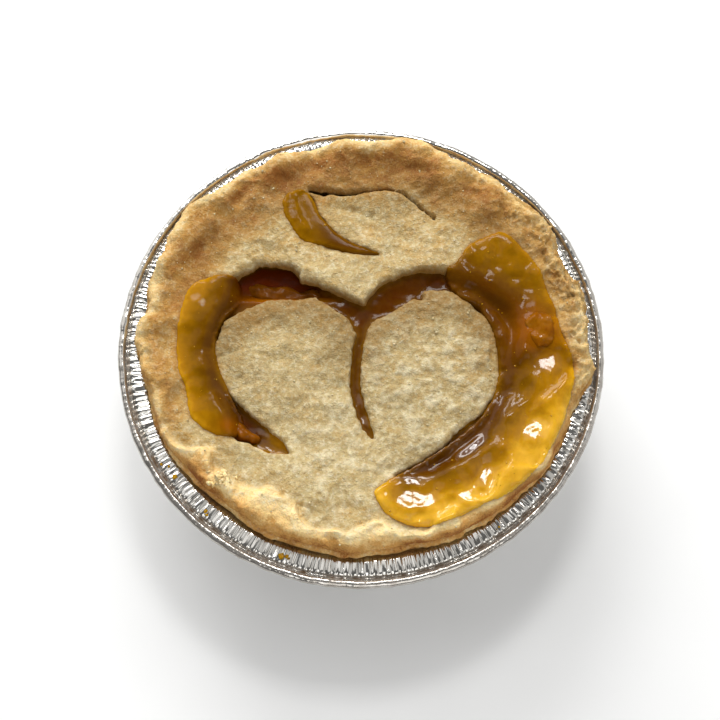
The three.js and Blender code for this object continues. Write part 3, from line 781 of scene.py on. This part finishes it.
dress(tree, shader, {"Base Color": soaked, "Roughness": dryness, "Specular IOR Level": 0.3,
                     "Subsurface Weight": 0.12, "Subsurface Scale": 1.0,
                     "Subsurface Radius": (0.0016, 0.0009, 0.0004)})
bumps(tree, shader, [(mottle, 0.48, 0.85), (flour, 0.36, 1.0), (fine, 0.28, 0.9)])
print("pastry finish:", len(tree.nodes), "nodes")

# %% [markdown]
# ## Peach gel
# The gel is clear, so its colour is mostly its depth: bright yellow at a thin front, amber in a layer, and
# brown to dark red where it fills a deep cut. There the dark is partly painted shade of the cut, darkest in
# the cave under the lid's far edge. The depth and that shade are painted on the points and some light is let
# in under the skin. A thin wet coat gives the sharp highlights; the "shine" paint makes it strong only where
# the gel is smooth and wet.

# %% The gel finish
gel, tree, shader = new_finish("peach_gel")
cloud = grain(tree, 4.5, 3)
swirl = grain(tree, 1.8, 3, 0.5, distortion=0.6)
thick = swayed(tree, swayed(tree, paint(tree, "depth"), cloud, 0.18), swirl, 0.14, clamp=True)
# The dark stops are the deep cuts: partly the gel's depth, partly painted shade, the darkest in the cave.
gel_colour = ramp(tree, thick, [
    (0.0, (224, 170, 44)),
    (0.09, (198, 144, 18)),
    (0.2, (166, 114, 6)),
    (0.38, (126, 84, 2)),
    (0.55, (96, 58, 2)),
    (0.78, (78, 32, 0)),
    (1.0, (84, 27, 0)),
], smooth=False)
fruit = mixed(tree, paint(tree, "fruit"), gel_colour, colour(164, 92, 2))
dress(tree, shader, {"Base Color": fruit, "Roughness": 0.12, "Specular IOR Level": 0.02,
                     "Coat Weight": paint(tree, "shine"), "Coat Roughness": 0.09,
                     "Subsurface Weight": 0.3, "Subsurface Scale": 1.0,
                     "Subsurface Radius": (0.0024, 0.0016, 0.0002)})
bumps(tree, shader, [(grain(tree, 3.5, 2), 0.08, 0.3), (grain(tree, 1.1, 3), 0.05, 0.5)])
bumps(tree, shader, [(grain(tree, 2.4, 3), 0.1, 0.5), (grain(tree, 0.9, 2), 0.03, 0.4)], "Coat Normal")
print("gel finish:", len(tree.nodes), "nodes")

# %% [markdown]
# ## Cooked peach
# Cooked peach flesh is orange to brown, streaked along its fibres and coated with juice.

# %% The peach finish
peach, tree, shader = new_finish("cooked_peach")
fibres = grain(tree, 1.1, 3, 0.6)
blush = grain(tree, 3.2, 2)
# Flesh tone comes from the paint on each slice; the far-left slice's is low, painted shade of the cave.
flesh = ramp(tree, swayed(tree, paint(tree, "ripe_and_shade"), blush, 0.8), [
    (0.1, (88, 46, 2)),
    (0.5, (132, 74, 3)),
    (0.9, (168, 108, 6)),
], smooth=False)
streaked = mixed(tree, sums(tree, "MULTIPLY", fibres, 0.3), flesh, colour(110, 62, 4))
glaze = ramp(tree, blush, [(0.52, 0.06), (0.66, 0.7)])
dress(tree, shader, {"Base Color": streaked, "Roughness": 0.3, "Specular IOR Level": 0.02,
                     "Coat Weight": glaze, "Coat Roughness": 0.1,
                     "Subsurface Weight": 0.06, "Subsurface Scale": 1.0,
                     "Subsurface Radius": (0.0016, 0.001, 0.0002)})
bumps(tree, shader, [(fibres, 0.25, 0.6)])

# %% [markdown]
# ## Kitchen foil
# The tin is pressed from thin aluminium. Its pleats are real folds in the mesh; the finish adds the fine
# crinkles and dull smudges of a used tin, and the brown of juice that has baked on in the groove.

# %% The foil finish
foil, tree, shader = new_finish("crinkled_foil")
crinkle = grain(tree, 3, 3, 0.5)
scuff = grain(tree, 0.6, 3, 0.6)
metal = ramp(tree, crinkle, [(0.25, (196, 192, 184)), (0.75, (220, 217, 211))])
stained = mixed(tree, paint(tree, "grime"), metal, colour(98, 74, 46))
scuffed = ramp(tree, scuff, [(0.3, 0.08), (0.7, 0.17)])
dirty = sums(tree, "ADD", scuffed, sums(tree, "MULTIPLY", paint(tree, "grime"), 0.3), clamp=True)
bright = sums(tree, "SUBTRACT", 1.0, sums(tree, "MULTIPLY", paint(tree, "grime"), 0.7))
dress(tree, shader, {"Base Color": stained, "Roughness": dirty, "Metallic": bright})
bumps(tree, shader, [(crinkle, 0.08, 0.2)])
print("finishes:", [m.name for m in (pastry, gel, peach, foil)])

# %% [markdown]
# ## Paint and place the lid
# The heat of the oven comes from the edge inwards and catches what stands high; browning is worked out from
# the distance to the edge. The height is used only to make the highest crest at the near side paler, a
# painted highlight. Juice soaks the pastry beside the gel. What the gel covers is out of sight too, so it is
# gathered first, in groups small enough to stay well under the gel.

# %% Gather what the gel covers
under_gel = lid_points[:, 2] < read_plan(gel_top, lid_points) - 0.7
under_gel &= read_plan(gel_area, lid_points) > 1.2
lid_points, lid_faces = gathered(lid_points, lid_faces, under_gel, group=1.3)
lx, ly, lz = lid_points.T
at_edge, crest_here, to_cut, sunk_here = (read_plan(plan, lid_points)
                                          for plan in (from_edge, crest_in, in_hole, sunk))
turned = np.degrees(np.arctan2(ly, lx)) % 360
print("the lid keeps", len(lid_points), "points")

# %% Brown the lid
# The near rim is paler inside, its highest crest paler still as a painted highlight, and it is brown at its
# outer face and in patches that are placed by angle in degrees; the patch at 262 degrees is also painted
# shade.
baked_side = 1 - ease(turned, 185, 215) * fade(turned, 325, 345)
baked_side *= 1 - 0.35 * bell((turned + 180) % 360, 195, 28)
band = ease(at_edge, 2, 6) * fade(at_edge, 11, 22)
browning = blend(0.1, 0.24, ease(ly, -46, -22)) + 0.16 * ease(ly, -10, 50)
browning += band * blend(0.1, 0.42, baked_side)
browning += 0.16 * read_plan(dents, lid_points).clip(0, 1)
lobe_end = sunk_here * ease(to_cut, -12, -2) * ease(ly, -18, 8)
outer_face = fade(at_edge / crest_here, 0.35, 0.9)
# Painted highlight: the highest crest at the near side is made paler.
browning += (0.2 * lobe_end + 0.36 * outer_face * (1 - baked_side)
             - 0.2 * ease(lz, 34, 35.4) * ease(-ly, 10, 40))
browning += 0.3 * fade(at_edge, 0, 3) * (1 - baked_side)
browning += 0.2 * bell(turned, 188, 24) * fade(at_edge, 5, 9)
browning += 0.14 * bell(turned, 218, 17) * fade(at_edge, 4, 10)
near_right_rim = ease(turned, 270, 290) * fade(turned, 344, 354)
browning += near_right_rim * (0.06 * fade(at_edge, 3, 7) + 0.16 * fade(at_edge, 1, 3))
# Painted shade with browning: the outer rim is darker near 262 degrees, where a fold of the rim throws shade.
browning += 0.25 * bell(turned, 262, 9) * fade(at_edge, 3, 6)
near_edge = 0.4 + fade(at_edge, 2, 13)
browning += 0.16 * rough(lid_points, 8, 3, 31.4) * near_edge + 0.12 * rough(lid_points, 2.6, 3, 36.6)
print("browning is", round(float(browning.clip(0, 1).mean()), 2), "on average")

# %% Gold with painted highlight, painted shade and wet places of the lid
# Gold: golden crust on the near rim, with a painted highlight on its lit crest and the far rim's outer edge.
from_crest = at_edge - crest_here + 2 * rough(lid_points, 5, 2, 39.1)
gold_and_highlight_share = 1.3 * ease(-ly, 0, 30) * fade(from_crest, -1, 3.5)
gold_and_highlight_share = np.maximum(gold_and_highlight_share, 0.7 * baked_side * fade(at_edge, 2, 5.5))
gold_and_highlight_paint = gold_and_highlight_share * (0.85 + 0.5 * rough(lid_points, 6, 2, 33.3))
# Painted shade: valley inside the far rim, lobe ends, lobes and leaf; the noise adds random greyer mottling.
valley = ease(at_edge, 7, 11) * fade(at_edge, 15, 24) * ease(ly, 2, 34)
painted_shade = 0.06 + 0.55 * valley + 0.95 * lobe_end + 0.2 * sunk_here + 0.35 * oval(lx, ly, (4, 36), (15, 6))
painted_shade += 0.14 * rough(lid_points, 1.5, 3, 47.3) + 0.15 * rough(lid_points, 6, 2, 49.3)
below = read_plan(lid_top, lid_points) - lz
wet = 0.75 * ease(read_plan(spill_near, lid_points), -0.8, 0.4)
wet = np.maximum(wet, 0.8 * ease(to_cut, -1.2, 0.2) * ease(below, 0.5, 2.2))
floury = 1.5 * read_plan(blisters, lid_points) - 0.5 * gold_and_highlight_share * outer_face
print("wet places:", int((wet > 0.5).sum()), "points")

# %% Put the lid together
lid = piece("lid_crust", lid_points, lid_faces, pastry,
            {"browning": browning.clip(0, 1), "gold_and_highlight": gold_and_highlight_paint.clip(0, 1), "wet": wet.clip(0, 1),
             "painted_shade": painted_shade.clip(0, 1), "floury": floury.clip(-0.6, 1)})
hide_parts("lid")

# %% [markdown]
# ## Paint and place the gel
# The depth of the gel is how far its surface stands above the crust under it, or above the sunk filling in
# a cut. Inside the cuts it is also painted shade: darker lower down and at the cut's edges, and darkest in
# the cave under the lid's far edge.

# %% How deep the gel is, and its painted shade
gx, gy, gz = gel_points.T
to_hole = read_plan(in_hole, gel_points)
near_right = ease(-gy + 0.2 * gx, 13, 42) * ease(gx, -6, 4)
thickness = read_plan(np.maximum(gel_top - lid_surface, 0), gel_points)
behind_front = read_plan(spill_near, gel_points)
depth = 0.12 + 0.3 * ease(to_hole, -9, 1) + 0.03 * thickness - 0.14 * near_right
depth += (0.07 * (1 - near_right) * ease(behind_front, 0, 2.5)
          - 0.06 * near_right * fade(behind_front, 0.5, 4))
depth += 0.12 * ease(gx, 15, 30) * ease(gy, -14, 4)
sunk_below = np.clip((LID_LEVEL - 2 - gz) / 6, 0, 1)
# Inside the cuts: darker lower down and at the cut's edges, partly depth and partly painted shade.
depth = blend(depth, 0.63 + 0.3 * sunk_below, ease(to_hole, -1, 2.6))
cave_here = read_plan(cave, gel_points)
# Painted shade: the gel in the cave is darkened where the lid's far edge shades it.
depth += 0.4 * cave_here * ease(gy, 13, 16) * ease(to_hole, -1, 0)
leaf_here = read_plan(leaf_inward, gel_points)
depth = np.where(leaf_here > -1, 0.3 + 0.1 * ease(leaf_here, 0, 2.2) + 0.2 * ease(gx, -15, -6), depth)
depth -= 0.3 * hump(gx, gy, (-20.5, -28.5), 5)
depth -= 0.07 * ease(-gx, 28, 36) * ease(-gy, 2, 14) * ease(-to_hole, 0, 3)
print("painted depth is", round(float(depth.mean()), 2), "on average")

# %% Fruit under the gel, and its shine
fruit_paint = 0.75 * hump(gx, gy, CHUNK_AT, CHUNK_REACH)
fruit_paint += 0.6 * oval(gx, gy, (-22, 11.5), (9, 2.2))
fruit_paint += 0.7 * oval(gx, gy, (-32.5, -24), (3, 2))
shine = 0.12 + 0.24 * near_right - 0.1 * cave_here - 0.06 * (leaf_here > -1)
shine += 0.3 * hump(gx, gy, (-26, -24), 5) + 0.2 * ease(to_hole, 0, 1) * ease(-gy, 8, 14)
shine += 0.6 * read_plan(gleaming, gel_points)
filling = piece("peach_filling", gel_points, gel_faces, gel,
                {"depth": depth.clip(0, 1), "fruit": fruit_paint.clip(0, 1), "shine": shine.clip(0.04, 1)})
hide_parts("filling")

# %% [markdown]
# ## Peach slices
# Four slices show through the cuts. A cooked slice is a wedge with a round back, bent a little, and its
# fibres run along it. Each is drawn as rings along a bent line, then roughened along the fibres.

# %% Cut the slices
# Each slice is its middle, size, heading in degrees and tone; the far-left slice's dark tone is painted
# shade.
SLICES = {
    "peach_slice_near_left": ((-29.4, -24.3, 28.2), (9.2, 4.2, 5), -39, 0.42),
    "peach_slice_right": ((45.6, 1.2, 35.2), (9.5, 7.4, 2.6), 100, 0.6),
    "peach_slice_near": ((17.6, -33, 26.4), (11, 4.6, 4.6), 30, 0.5),
    "peach_slice_far_left": ((-20.6, 15.2, 25.8), (25, 7, 5.4), -8, 0.22),
}
BEND = 0.16
for name, (place, size, heading, ripe_and_shade) in SLICES.items():
    length, width, height = (d / 2 for d in size)
    stations, turns = np.linspace(0.06, math.pi - 0.06, 48), np.linspace(0, 2 * math.pi, 40, endpoint=False)
    along, around = np.meshgrid(stations, turns, indexing="ij")
    travel = -np.cos(along)
    girth = np.sin(along).clip(0, 1) ** 0.8
    wedge = 1 - 0.22 * np.sin(around) ** 2 * (np.cos(around) > 0)
    sx = length * travel
    sy = width * girth * wedge * np.cos(around) - BEND * length * (1 - travel ** 2)
    sz = height * girth * np.sin(around)
    cosine, sine = math.cos(math.radians(heading)), math.sin(math.radians(heading))
    points = np.stack([sx * cosine - sy * sine, sx * sine + sy * cosine, sz], axis=-1).reshape(-1, 3)
    fibre = rough(np.stack([sx * 0.4, sy * 2, sz * 2], axis=-1).reshape(-1, 3), 2.2, 3, 41.5)
    faces = ring_faces(*along.shape)
    broken = 0.9 * rough(points + np.array(place), 3.4, 2, 43.5) * min(1, height / 2)
    points = pushed_out(points, faces, 0.28 * fibre + broken - 0.15) + np.array(place)
    slice_piece = piece(name + "_flesh", points, faces, peach, {"ripe_and_shade": np.full(len(points), ripe_and_shade)})
    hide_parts(name)

# %% [markdown]
# ## The lower crust
# The tin is lined with a second sheet of dough. Its edge lies on the tin's rim under the lid and shows
# there as a crumbly layer. It is a bowl drawn as rings, with an edge that follows the lid's and pokes out
# at one place.

# %% Line the tin
POKE_ANGLE, POKE_LENGTH, POKE_SPREAD = math.radians(40), 2.4, 0.09
turns = np.linspace(0, 2 * math.pi, 1080, endpoint=False)
edge = edge_radius(turns, shift=6.0)
edge += POKE_LENGTH * bell(turns, POKE_ANGLE, POKE_SPREAD)
# Each row is a radius and a height, from the middle of the underside round the edge to the middle above
bowl = [
    (1.0, 0.9),
    (BASE_RADIUS - 3, 0.9),
    (BASE_RADIUS - 0.9, 1.1),
    (54.2, 27.8),
    (55.2, 29.2),
    (blend(55.4, edge, 0.6), 29.6),
    (edge - 1.0, 29.7),
    (edge - 0.4, 29.9),
    (edge - 0.2, 30.15),
    (edge - 0.4, 30.55),
    (edge - 1.0, 30.85),
    (edge - 2.4, 30.95),
    (51.2, 30.9),
    (50.4, 29.4),
    (BASE_RADIUS - 4, 4.0),
    (1.0, 3.9),
]
bowl_points = np.vstack([ring_points(turns, radius, height) for radius, height in bowl])
bowl_faces = ring_faces(len(bowl), len(turns))
outside = ease(np.hypot(*bowl_points[:, :2].T), 54.8, 56.5)
ragged = 0.34 * rough(bowl_points, 2.4, 4, 51.1) + 0.12 * rough(bowl_points, 0.8, 2, 53.3)
bowl_points = pushed_out(bowl_points, bowl_faces, ragged * outside)
bowl_points[:, 2] = bowl_points[:, 2].clip(FOIL, SEAM_HEIGHT + GAP)
toasted = 0.62 + 0.3 * rough(bowl_points, 5, 3, 55.5)
none = np.zeros(len(bowl_points))
lower = piece("lower_crust_edge", bowl_points, bowl_faces, pastry,
              {"browning": toasted.clip(0, 1), "gold_and_highlight": ease(-bowl_points[:, 1], -5, 35),
               "wet": none, "painted_shade": none, "floury": none})
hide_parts("lower_crust")

# %% [markdown]
# ## The foil tin
# A disc of foil is pressed into a tin, so its wall and flange gather in some 240 sharp pleats, and its edge
# is rolled into a bead. No two pleats are alike: many start or end part of the way across the flange. Two
# uneven saw-tooth patterns, one for the flange's inner side and one for its outer side, are blended across
# it.

# %% The pleats
PLEATS = 240
STEPS = PLEATS * 10
sweep = np.linspace(0, 2 * math.pi, STEPS, endpoint=False)
foil_hand = np.random.default_rng(7)


def creased(raised_share):
    gaps = 1 + 0.5 * foil_hand.uniform(-1, 1, PLEATS)
    starts = np.cumsum(gaps) / gaps.sum() * 2 * math.pi
    pitch = 2 * math.pi / PLEATS
    side, top = 0.12 * pitch, raised_share * foil_hand.uniform(0.7, 1.3, PLEATS) * pitch
    places = np.concatenate([starts, starts + side, starts + side + top, starts + 2 * side + top])
    low, high = foil_hand.uniform(0, 0.35, (2, PLEATS)), foil_hand.uniform(0.6, 1, (2, PLEATS))
    heights = np.concatenate([low[0], high[0], high[1], low[1]])
    order = np.argsort(places)
    return np.interp(sweep, places[order], heights[order], period=2 * math.pi)


inner_folds, outer_folds, wall_folds = creased(0.36), creased(0.36), creased(0.4)
slow = by_angle(sweep, 9, 61.0)
print(PLEATS, "pleats in", STEPS, "steps round the tin")

# %% The tin's cross-section
BEAD_AT = (RIM_RADIUS - BEAD_RADIUS, RIM_TOP - BEAD_RADIUS)
bead = [(BEAD_AT[0] + BEAD_RADIUS * math.cos(a), BEAD_AT[1] + BEAD_RADIUS * math.sin(a), 0.05, 1.0)
        for a in np.radians(np.arange(-130, 136, 19))]
# Each row is radius, height, depth of the pleats, and where it lies between the inner and outer patterns
section = [
    (0.6, 0.0, 0, 0), (BASE_RADIUS - 1.2, 0.0, 0, 0), (BASE_RADIUS, 0.25, 0.08, 0),
    (BASE_RADIUS + 1.0, 1.4, 0.5, 0), (51.75, 17.5, 0.6, 0), (55.85, 26.7, 0.6, 0),
    (56.7, 28.1, 0.45, 0), (58.2, 28.4, 0.4, 0.1), (60.4, 28.1, 0.3, 0.9),
    *bead,
    (61.1, 28.75, 0.06, 1), (60.95, 28.45, 0.1, 1), (60.75, 28.6, 0.2, 1), (60.5, 29.1, 0.45, 1),
    (60.1, 29.35, 0.55, 0.8), (59.6, 29.4, 0.6, 0.4), (58.6, 29.3, 0.6, 0.15), (57.2, 29.05, 0.6, 0),
    (56.4, 28.85, 0.5, 0), (55.7, 28.5, 0.45, 0), (55.2, 27.4, 0.4, 0),
    (50.9, 17, 0.4, 0), (BASE_RADIUS - 0.1, 1.2, 0.2, 0), (BASE_RADIUS - 1.4, FOIL, 0, 0), (0.6, FOIL, 0, 0),
]
rows = []
for radius, height, amount, across in section:
    on_wall = height < 27.9
    folds = wall_folds if on_wall else blend(inner_folds, outer_folds, across)
    dent = 0.05 * slow * (radius > 55)
    folded_radius = radius - amount * folds * (0.9 if on_wall else 0.15) + dent * (radius < 62)
    folded_height = height - (0.0 if on_wall else 0.95) * amount * folds + dent
    rows.append(ring_points(sweep, folded_radius, folded_height))
tin_points = np.vstack(rows)
tin_faces = ring_faces(len(section), STEPS)
print("the tin has", len(tin_points), "points")

# %% Wrinkles and baked-on juice
tin_radius = np.hypot(*tin_points[:, :2].T)
wrinkle = 0.2 * rough(tin_points, 3.8, 2, 71.7) * ease(tin_radius, 60.6, 61.4)
tin_points = pushed_out(tin_points, tin_faces, wrinkle - 0.06 * ease(tin_radius, 61, 62))
tin_points[:, 2] = tin_points[:, 2].clip(0, RIM_TOP)
tin_points[:, :2] *= np.minimum(1, RIM_RADIUS / np.maximum(np.hypot(*tin_points[:, :2].T), 1))[:, None]
groove_line = bell(tin_radius, 60.95, 0.26) * (tin_points[:, 2] > 28.2)
near_share = blend(0.12, 1.0, ease(-tin_points[:, 1], -15, 25))
grime = groove_line * (0.75 + 1.3 * rough(tin_points, 2.2, 3, 73.9)) * near_share
grime += (0.25 * ease(-tin_radius, -56.5, -55) * (0.2 + rough(tin_points, 4, 3, 75.2))
          * (tin_points[:, 2] > 27))
bead_grime = blend(0.05, 0.26, ease(-tin_points[:, 1], -30, 25))
grime += bead_grime * (1 + rough(tin_points, 3, 2, 77.4)) * ease(tin_radius, 60.9, 61.4)
tin = piece("foil_tin_pleated", tin_points, tin_faces, foil, {"grime": grime.clip(0, 1)})
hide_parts("foil_tin")

# %% [markdown]
# ## Crumbs
# Crumbs lie on the crust, torn flakes at one place of the rim, a few specks of dried juice on the foil, and
# small bubbles in the gel. All are too small for solids of their own. Each kind is one mesh of many little
# lumps.

# %% Little lumps
def lump_form(smooth):
    ratio = (1 + 5 ** 0.5) / 2
    corners = np.array([(s, t * ratio, 0) for s in (-1, 1) for t in (-1, 1)])
    corners = np.vstack([np.roll(corners, n, axis=1) for n in range(3)])
    corners /= np.linalg.norm(corners, axis=1)[:, None]
    form = bmesh.new()
    for corner in corners:
        form.verts.new(corner)
    bmesh.ops.convex_hull(form, input=form.verts)
    if smooth:
        bmesh.ops.subdivide_edges(form, edges=form.edges, cuts=1, use_grid_fill=True)
    bmesh.ops.recalc_face_normals(form, faces=form.faces)
    base = np.array([v.co[:] for v in form.verts])
    base /= np.linalg.norm(base, axis=1)[:, None]
    form.verts.index_update()
    base_faces = np.array([[v.index for v in f.verts] for f in form.faces])
    form.free()
    return base, base_faces


def lumps_at(name, places, sizes, material, paints, seed, flat=1.0, ragged=0.45, smooth=False):
    hand = np.random.default_rng(seed)
    base, base_faces = lump_form(smooth)
    points, faces = [], []
    for n, (place, size) in enumerate(zip(places, sizes)):
        turn, _ = np.linalg.qr(hand.normal(size=(3, 3)))
        lump = base * (1 + ragged * hand.uniform(-1, 1, (len(base), 1))) @ turn
        lump[:, 2] *= flat
        points.append(lump * size + place)
        faces.append((base_faces if np.linalg.det(turn) > 0 else base_faces[:, ::-1]) + n * len(base))
    paints = {label: np.repeat(np.broadcast_to(value, len(places)), len(base))
              for label, value in paints.items()}
    piece(name, np.vstack(points), np.vstack(faces), material, paints)


def scattered(hand, reach, number):
    return np.column_stack([hand.uniform(-reach, reach, (number, 2)), np.zeros(number)])


# %% Crumbs on the crust
CRUMBS, FLAKES, BUBBLES = 420, 30, 90
crumb_hand = np.random.default_rng(11)
spots = scattered(crumb_hand, 57, 5200)
on_crust = (read_plan(cut, spots) < -0.8) & (read_plan(from_edge, spots) > 1.2)
spots = spots[on_crust & (read_plan(spill_near, spots) < -0.5)][:CRUMBS]
sizes = crumb_hand.lognormal(math.log(0.15), 0.4, len(spots)).clip(0.08, 0.45)
spots[:, 2] = read_plan(lid_surface, spots) + 0.25 * sizes
lumps_at("crust_crumbs", spots, sizes, pastry,
         {"browning": crumb_hand.uniform(0, 0.35, len(spots)), "gold_and_highlight": 0.0, "wet": 0.0,
          "painted_shade": 0.1, "floury": 0.4}, seed=12, flat=0.7)

# %% Torn flakes at the near left
flake_hand = np.random.default_rng(23)
TORN_AT = (-34.2, -37.6)
spots = np.column_stack([flake_hand.normal(TORN_AT[0], 1.3, FLAKES),
                         flake_hand.normal(TORN_AT[1], 0.9, FLAKES), np.zeros(FLAKES)])
flake_sizes = flake_hand.lognormal(math.log(0.5), 0.35, len(spots)).clip(0.25, 0.9)
spots[:, 2] = read_plan(lid_surface, spots) + 0.1
lumps_at("crust_flakes", spots, flake_sizes, pastry,
         {"browning": flake_hand.uniform(0, 0.3, len(spots)), "gold_and_highlight": 1.0, "wet": 0.0,
          "painted_shade": 0.0, "floury": 0.0}, seed=24, flat=0.5, ragged=0.75)

# %% Specks on the foil
speck_angles = np.radians([213.5, 215, 218, 229.5, 230.4, 251, 252.2, 305])
speck_radii = np.array([59.9, 58.6, 58.8, 58.9, 59.4, 59.0, 58.6, 59.2])
SPECK_HEIGHT = 29.35
speck_sizes = np.array([0.35, 0.3, 0.6, 0.5, 0.35, 0.7, 0.5, 0.3])
lumps_at("juice_specks", ring_points(speck_angles, speck_radii, SPECK_HEIGHT), speck_sizes, gel,
         {"depth": 0.16, "fruit": 0.0, "shine": 0.3}, seed=13, flat=0.35, ragged=0.4, smooth=True)

# %% Bubbles in the gel
bubble_hand = np.random.default_rng(17)
spots = scattered(bubble_hand, 54, 2600)
spots = spots[read_plan(spill_near, spots) > 0.8][:BUBBLES]
bubble_sizes = bubble_hand.lognormal(math.log(0.14), 0.4, len(spots)).clip(0.08, 0.4)
spots[:, 2] = np.minimum(read_plan(gel_top, spots) - 0.2 * bubble_sizes, GEL_HIGHEST - 1.1 * bubble_sizes)
lumps_at("gel_bubbles", spots, bubble_sizes, gel, {"depth": 0.15, "fruit": 0.0, "shine": 0.4},
         seed=19, ragged=0.0, smooth=True)

# %% [markdown]
# ## Stage, light and camera
# The pie stands on a plain pale floor. A soft window-like light at the far side, a little left, lights the
# near rim's inner slopes, and a weak one fills in from the near side. A small one high at the far side is
# what the wet gel mirrors. A softly graded surround gives the foil something to mirror and carries most of
# the light. The camera looks down from the near side, as someone about to eat the pie would.

# %% The floor
FLOOR_HALF = 6000.0
FLOOR_BELOW = 0.2
floor_edge = np.array([(-1, -1), (1, -1), (1, 1), (-1, 1)]) * FLOOR_HALF * MM
floor_mesh = bpy.data.meshes.new("floor")
floor_mesh.from_pydata([(x, y, -FLOOR_BELOW * MM) for x, y in floor_edge], [], [(0, 1, 2, 3)])
floor = bpy.data.objects.new("floor", floor_mesh)
bpy.context.collection.objects.link(floor)
floor_paint, tree, shader = new_finish("pale_floor")
board = ramp(tree, grain(tree, 60, 2), [(0.3, (244, 244, 243)), (0.7, (248, 248, 247))])
dress(tree, shader, {"Base Color": board, "Roughness": 0.7, "Specular IOR Level": 0.1})
floor_mesh.materials.append(floor_paint)

# %% The surround
world = bpy.data.worlds.new("studio")
bpy.context.scene.world = world
world.use_nodes = True
tree = world.node_tree
tree.nodes.clear()
backdrop = tree.nodes.new("ShaderNodeBackground")
world_output = tree.nodes.new("ShaderNodeOutputWorld")
tree.links.new(backdrop.outputs[0], world_output.inputs[0])
direction = tree.nodes.new("ShaderNodeTexCoord")


def patch_of_light(tree, middle, stops):
    toward = tree.nodes.new("ShaderNodeVectorMath")
    toward.operation = "DOT_PRODUCT"
    toward.inputs[1].default_value = middle
    tree.links.new(direction.outputs["Generated"], toward.inputs[0])
    closeness = sums(tree, "ADD", sums(tree, "MULTIPLY", toward.outputs["Value"], 0.5), 0.5)
    return ramp(tree, closeness, stops)


left_patch = patch_of_light(tree, (-0.45, 0.7, 0.55), [(0.3, 0.14), (0.88, 0.14), (0.92, 1.0), (1.0, 1.0)])
right_patch = patch_of_light(tree, (0.78, 0.3, 0.55), [(0.85, 0.0), (0.92, 0.5), (1.0, 0.5)])
tree.links.new(mixed(tree, 1.0, left_patch, right_patch, "ADD"), backdrop.inputs["Color"])
backdrop.inputs["Strength"].default_value = 1.14


# %% The soft lights
def soft_light(name, place, aim, width, height, watts):
    lamp = bpy.data.lights.new(name, "AREA")
    lamp.shape = "RECTANGLE"
    lamp.size, lamp.size_y, lamp.energy = width, height, watts
    made = bpy.data.objects.new(name, lamp)
    made.location = place
    made.rotation_euler = (Vector(aim) - Vector(place)).to_track_quat("-Z", "Y").to_euler()
    bpy.context.collection.objects.link(made)


soft_light("window", (-0.18, 0.68, 0.4), (0, 0, 0.03), 0.5, 0.3, 4.8)
soft_light("fill", (0.1, -0.5, 0.5), (0, 0, 0.03), 0.6, 0.5, 1.6)
soft_light("glint", (0.03, 0.37, 0.55), (0, 0, 0.03), 0.16, 0.1, 1.2)

# %% The camera
camera_data = bpy.data.cameras.new("camera")
camera_data.sensor_width = 36
camera_data.lens = 49.655
camera = bpy.data.objects.new("camera", camera_data)
camera.location = Vector((0, -89.25, 273.0)) * MM
aim = Vector((-0.262, -5.098, 28.8)) * MM
camera.rotation_euler = (aim - camera.location).to_track_quat("-Z", "Y").to_euler()
bpy.context.collection.objects.link(camera)
bpy.context.scene.camera = camera
bpy.context.scene.view_settings.view_transform = "Standard"
print("camera", round((aim - camera.location).length / MM), "mm from the pie")
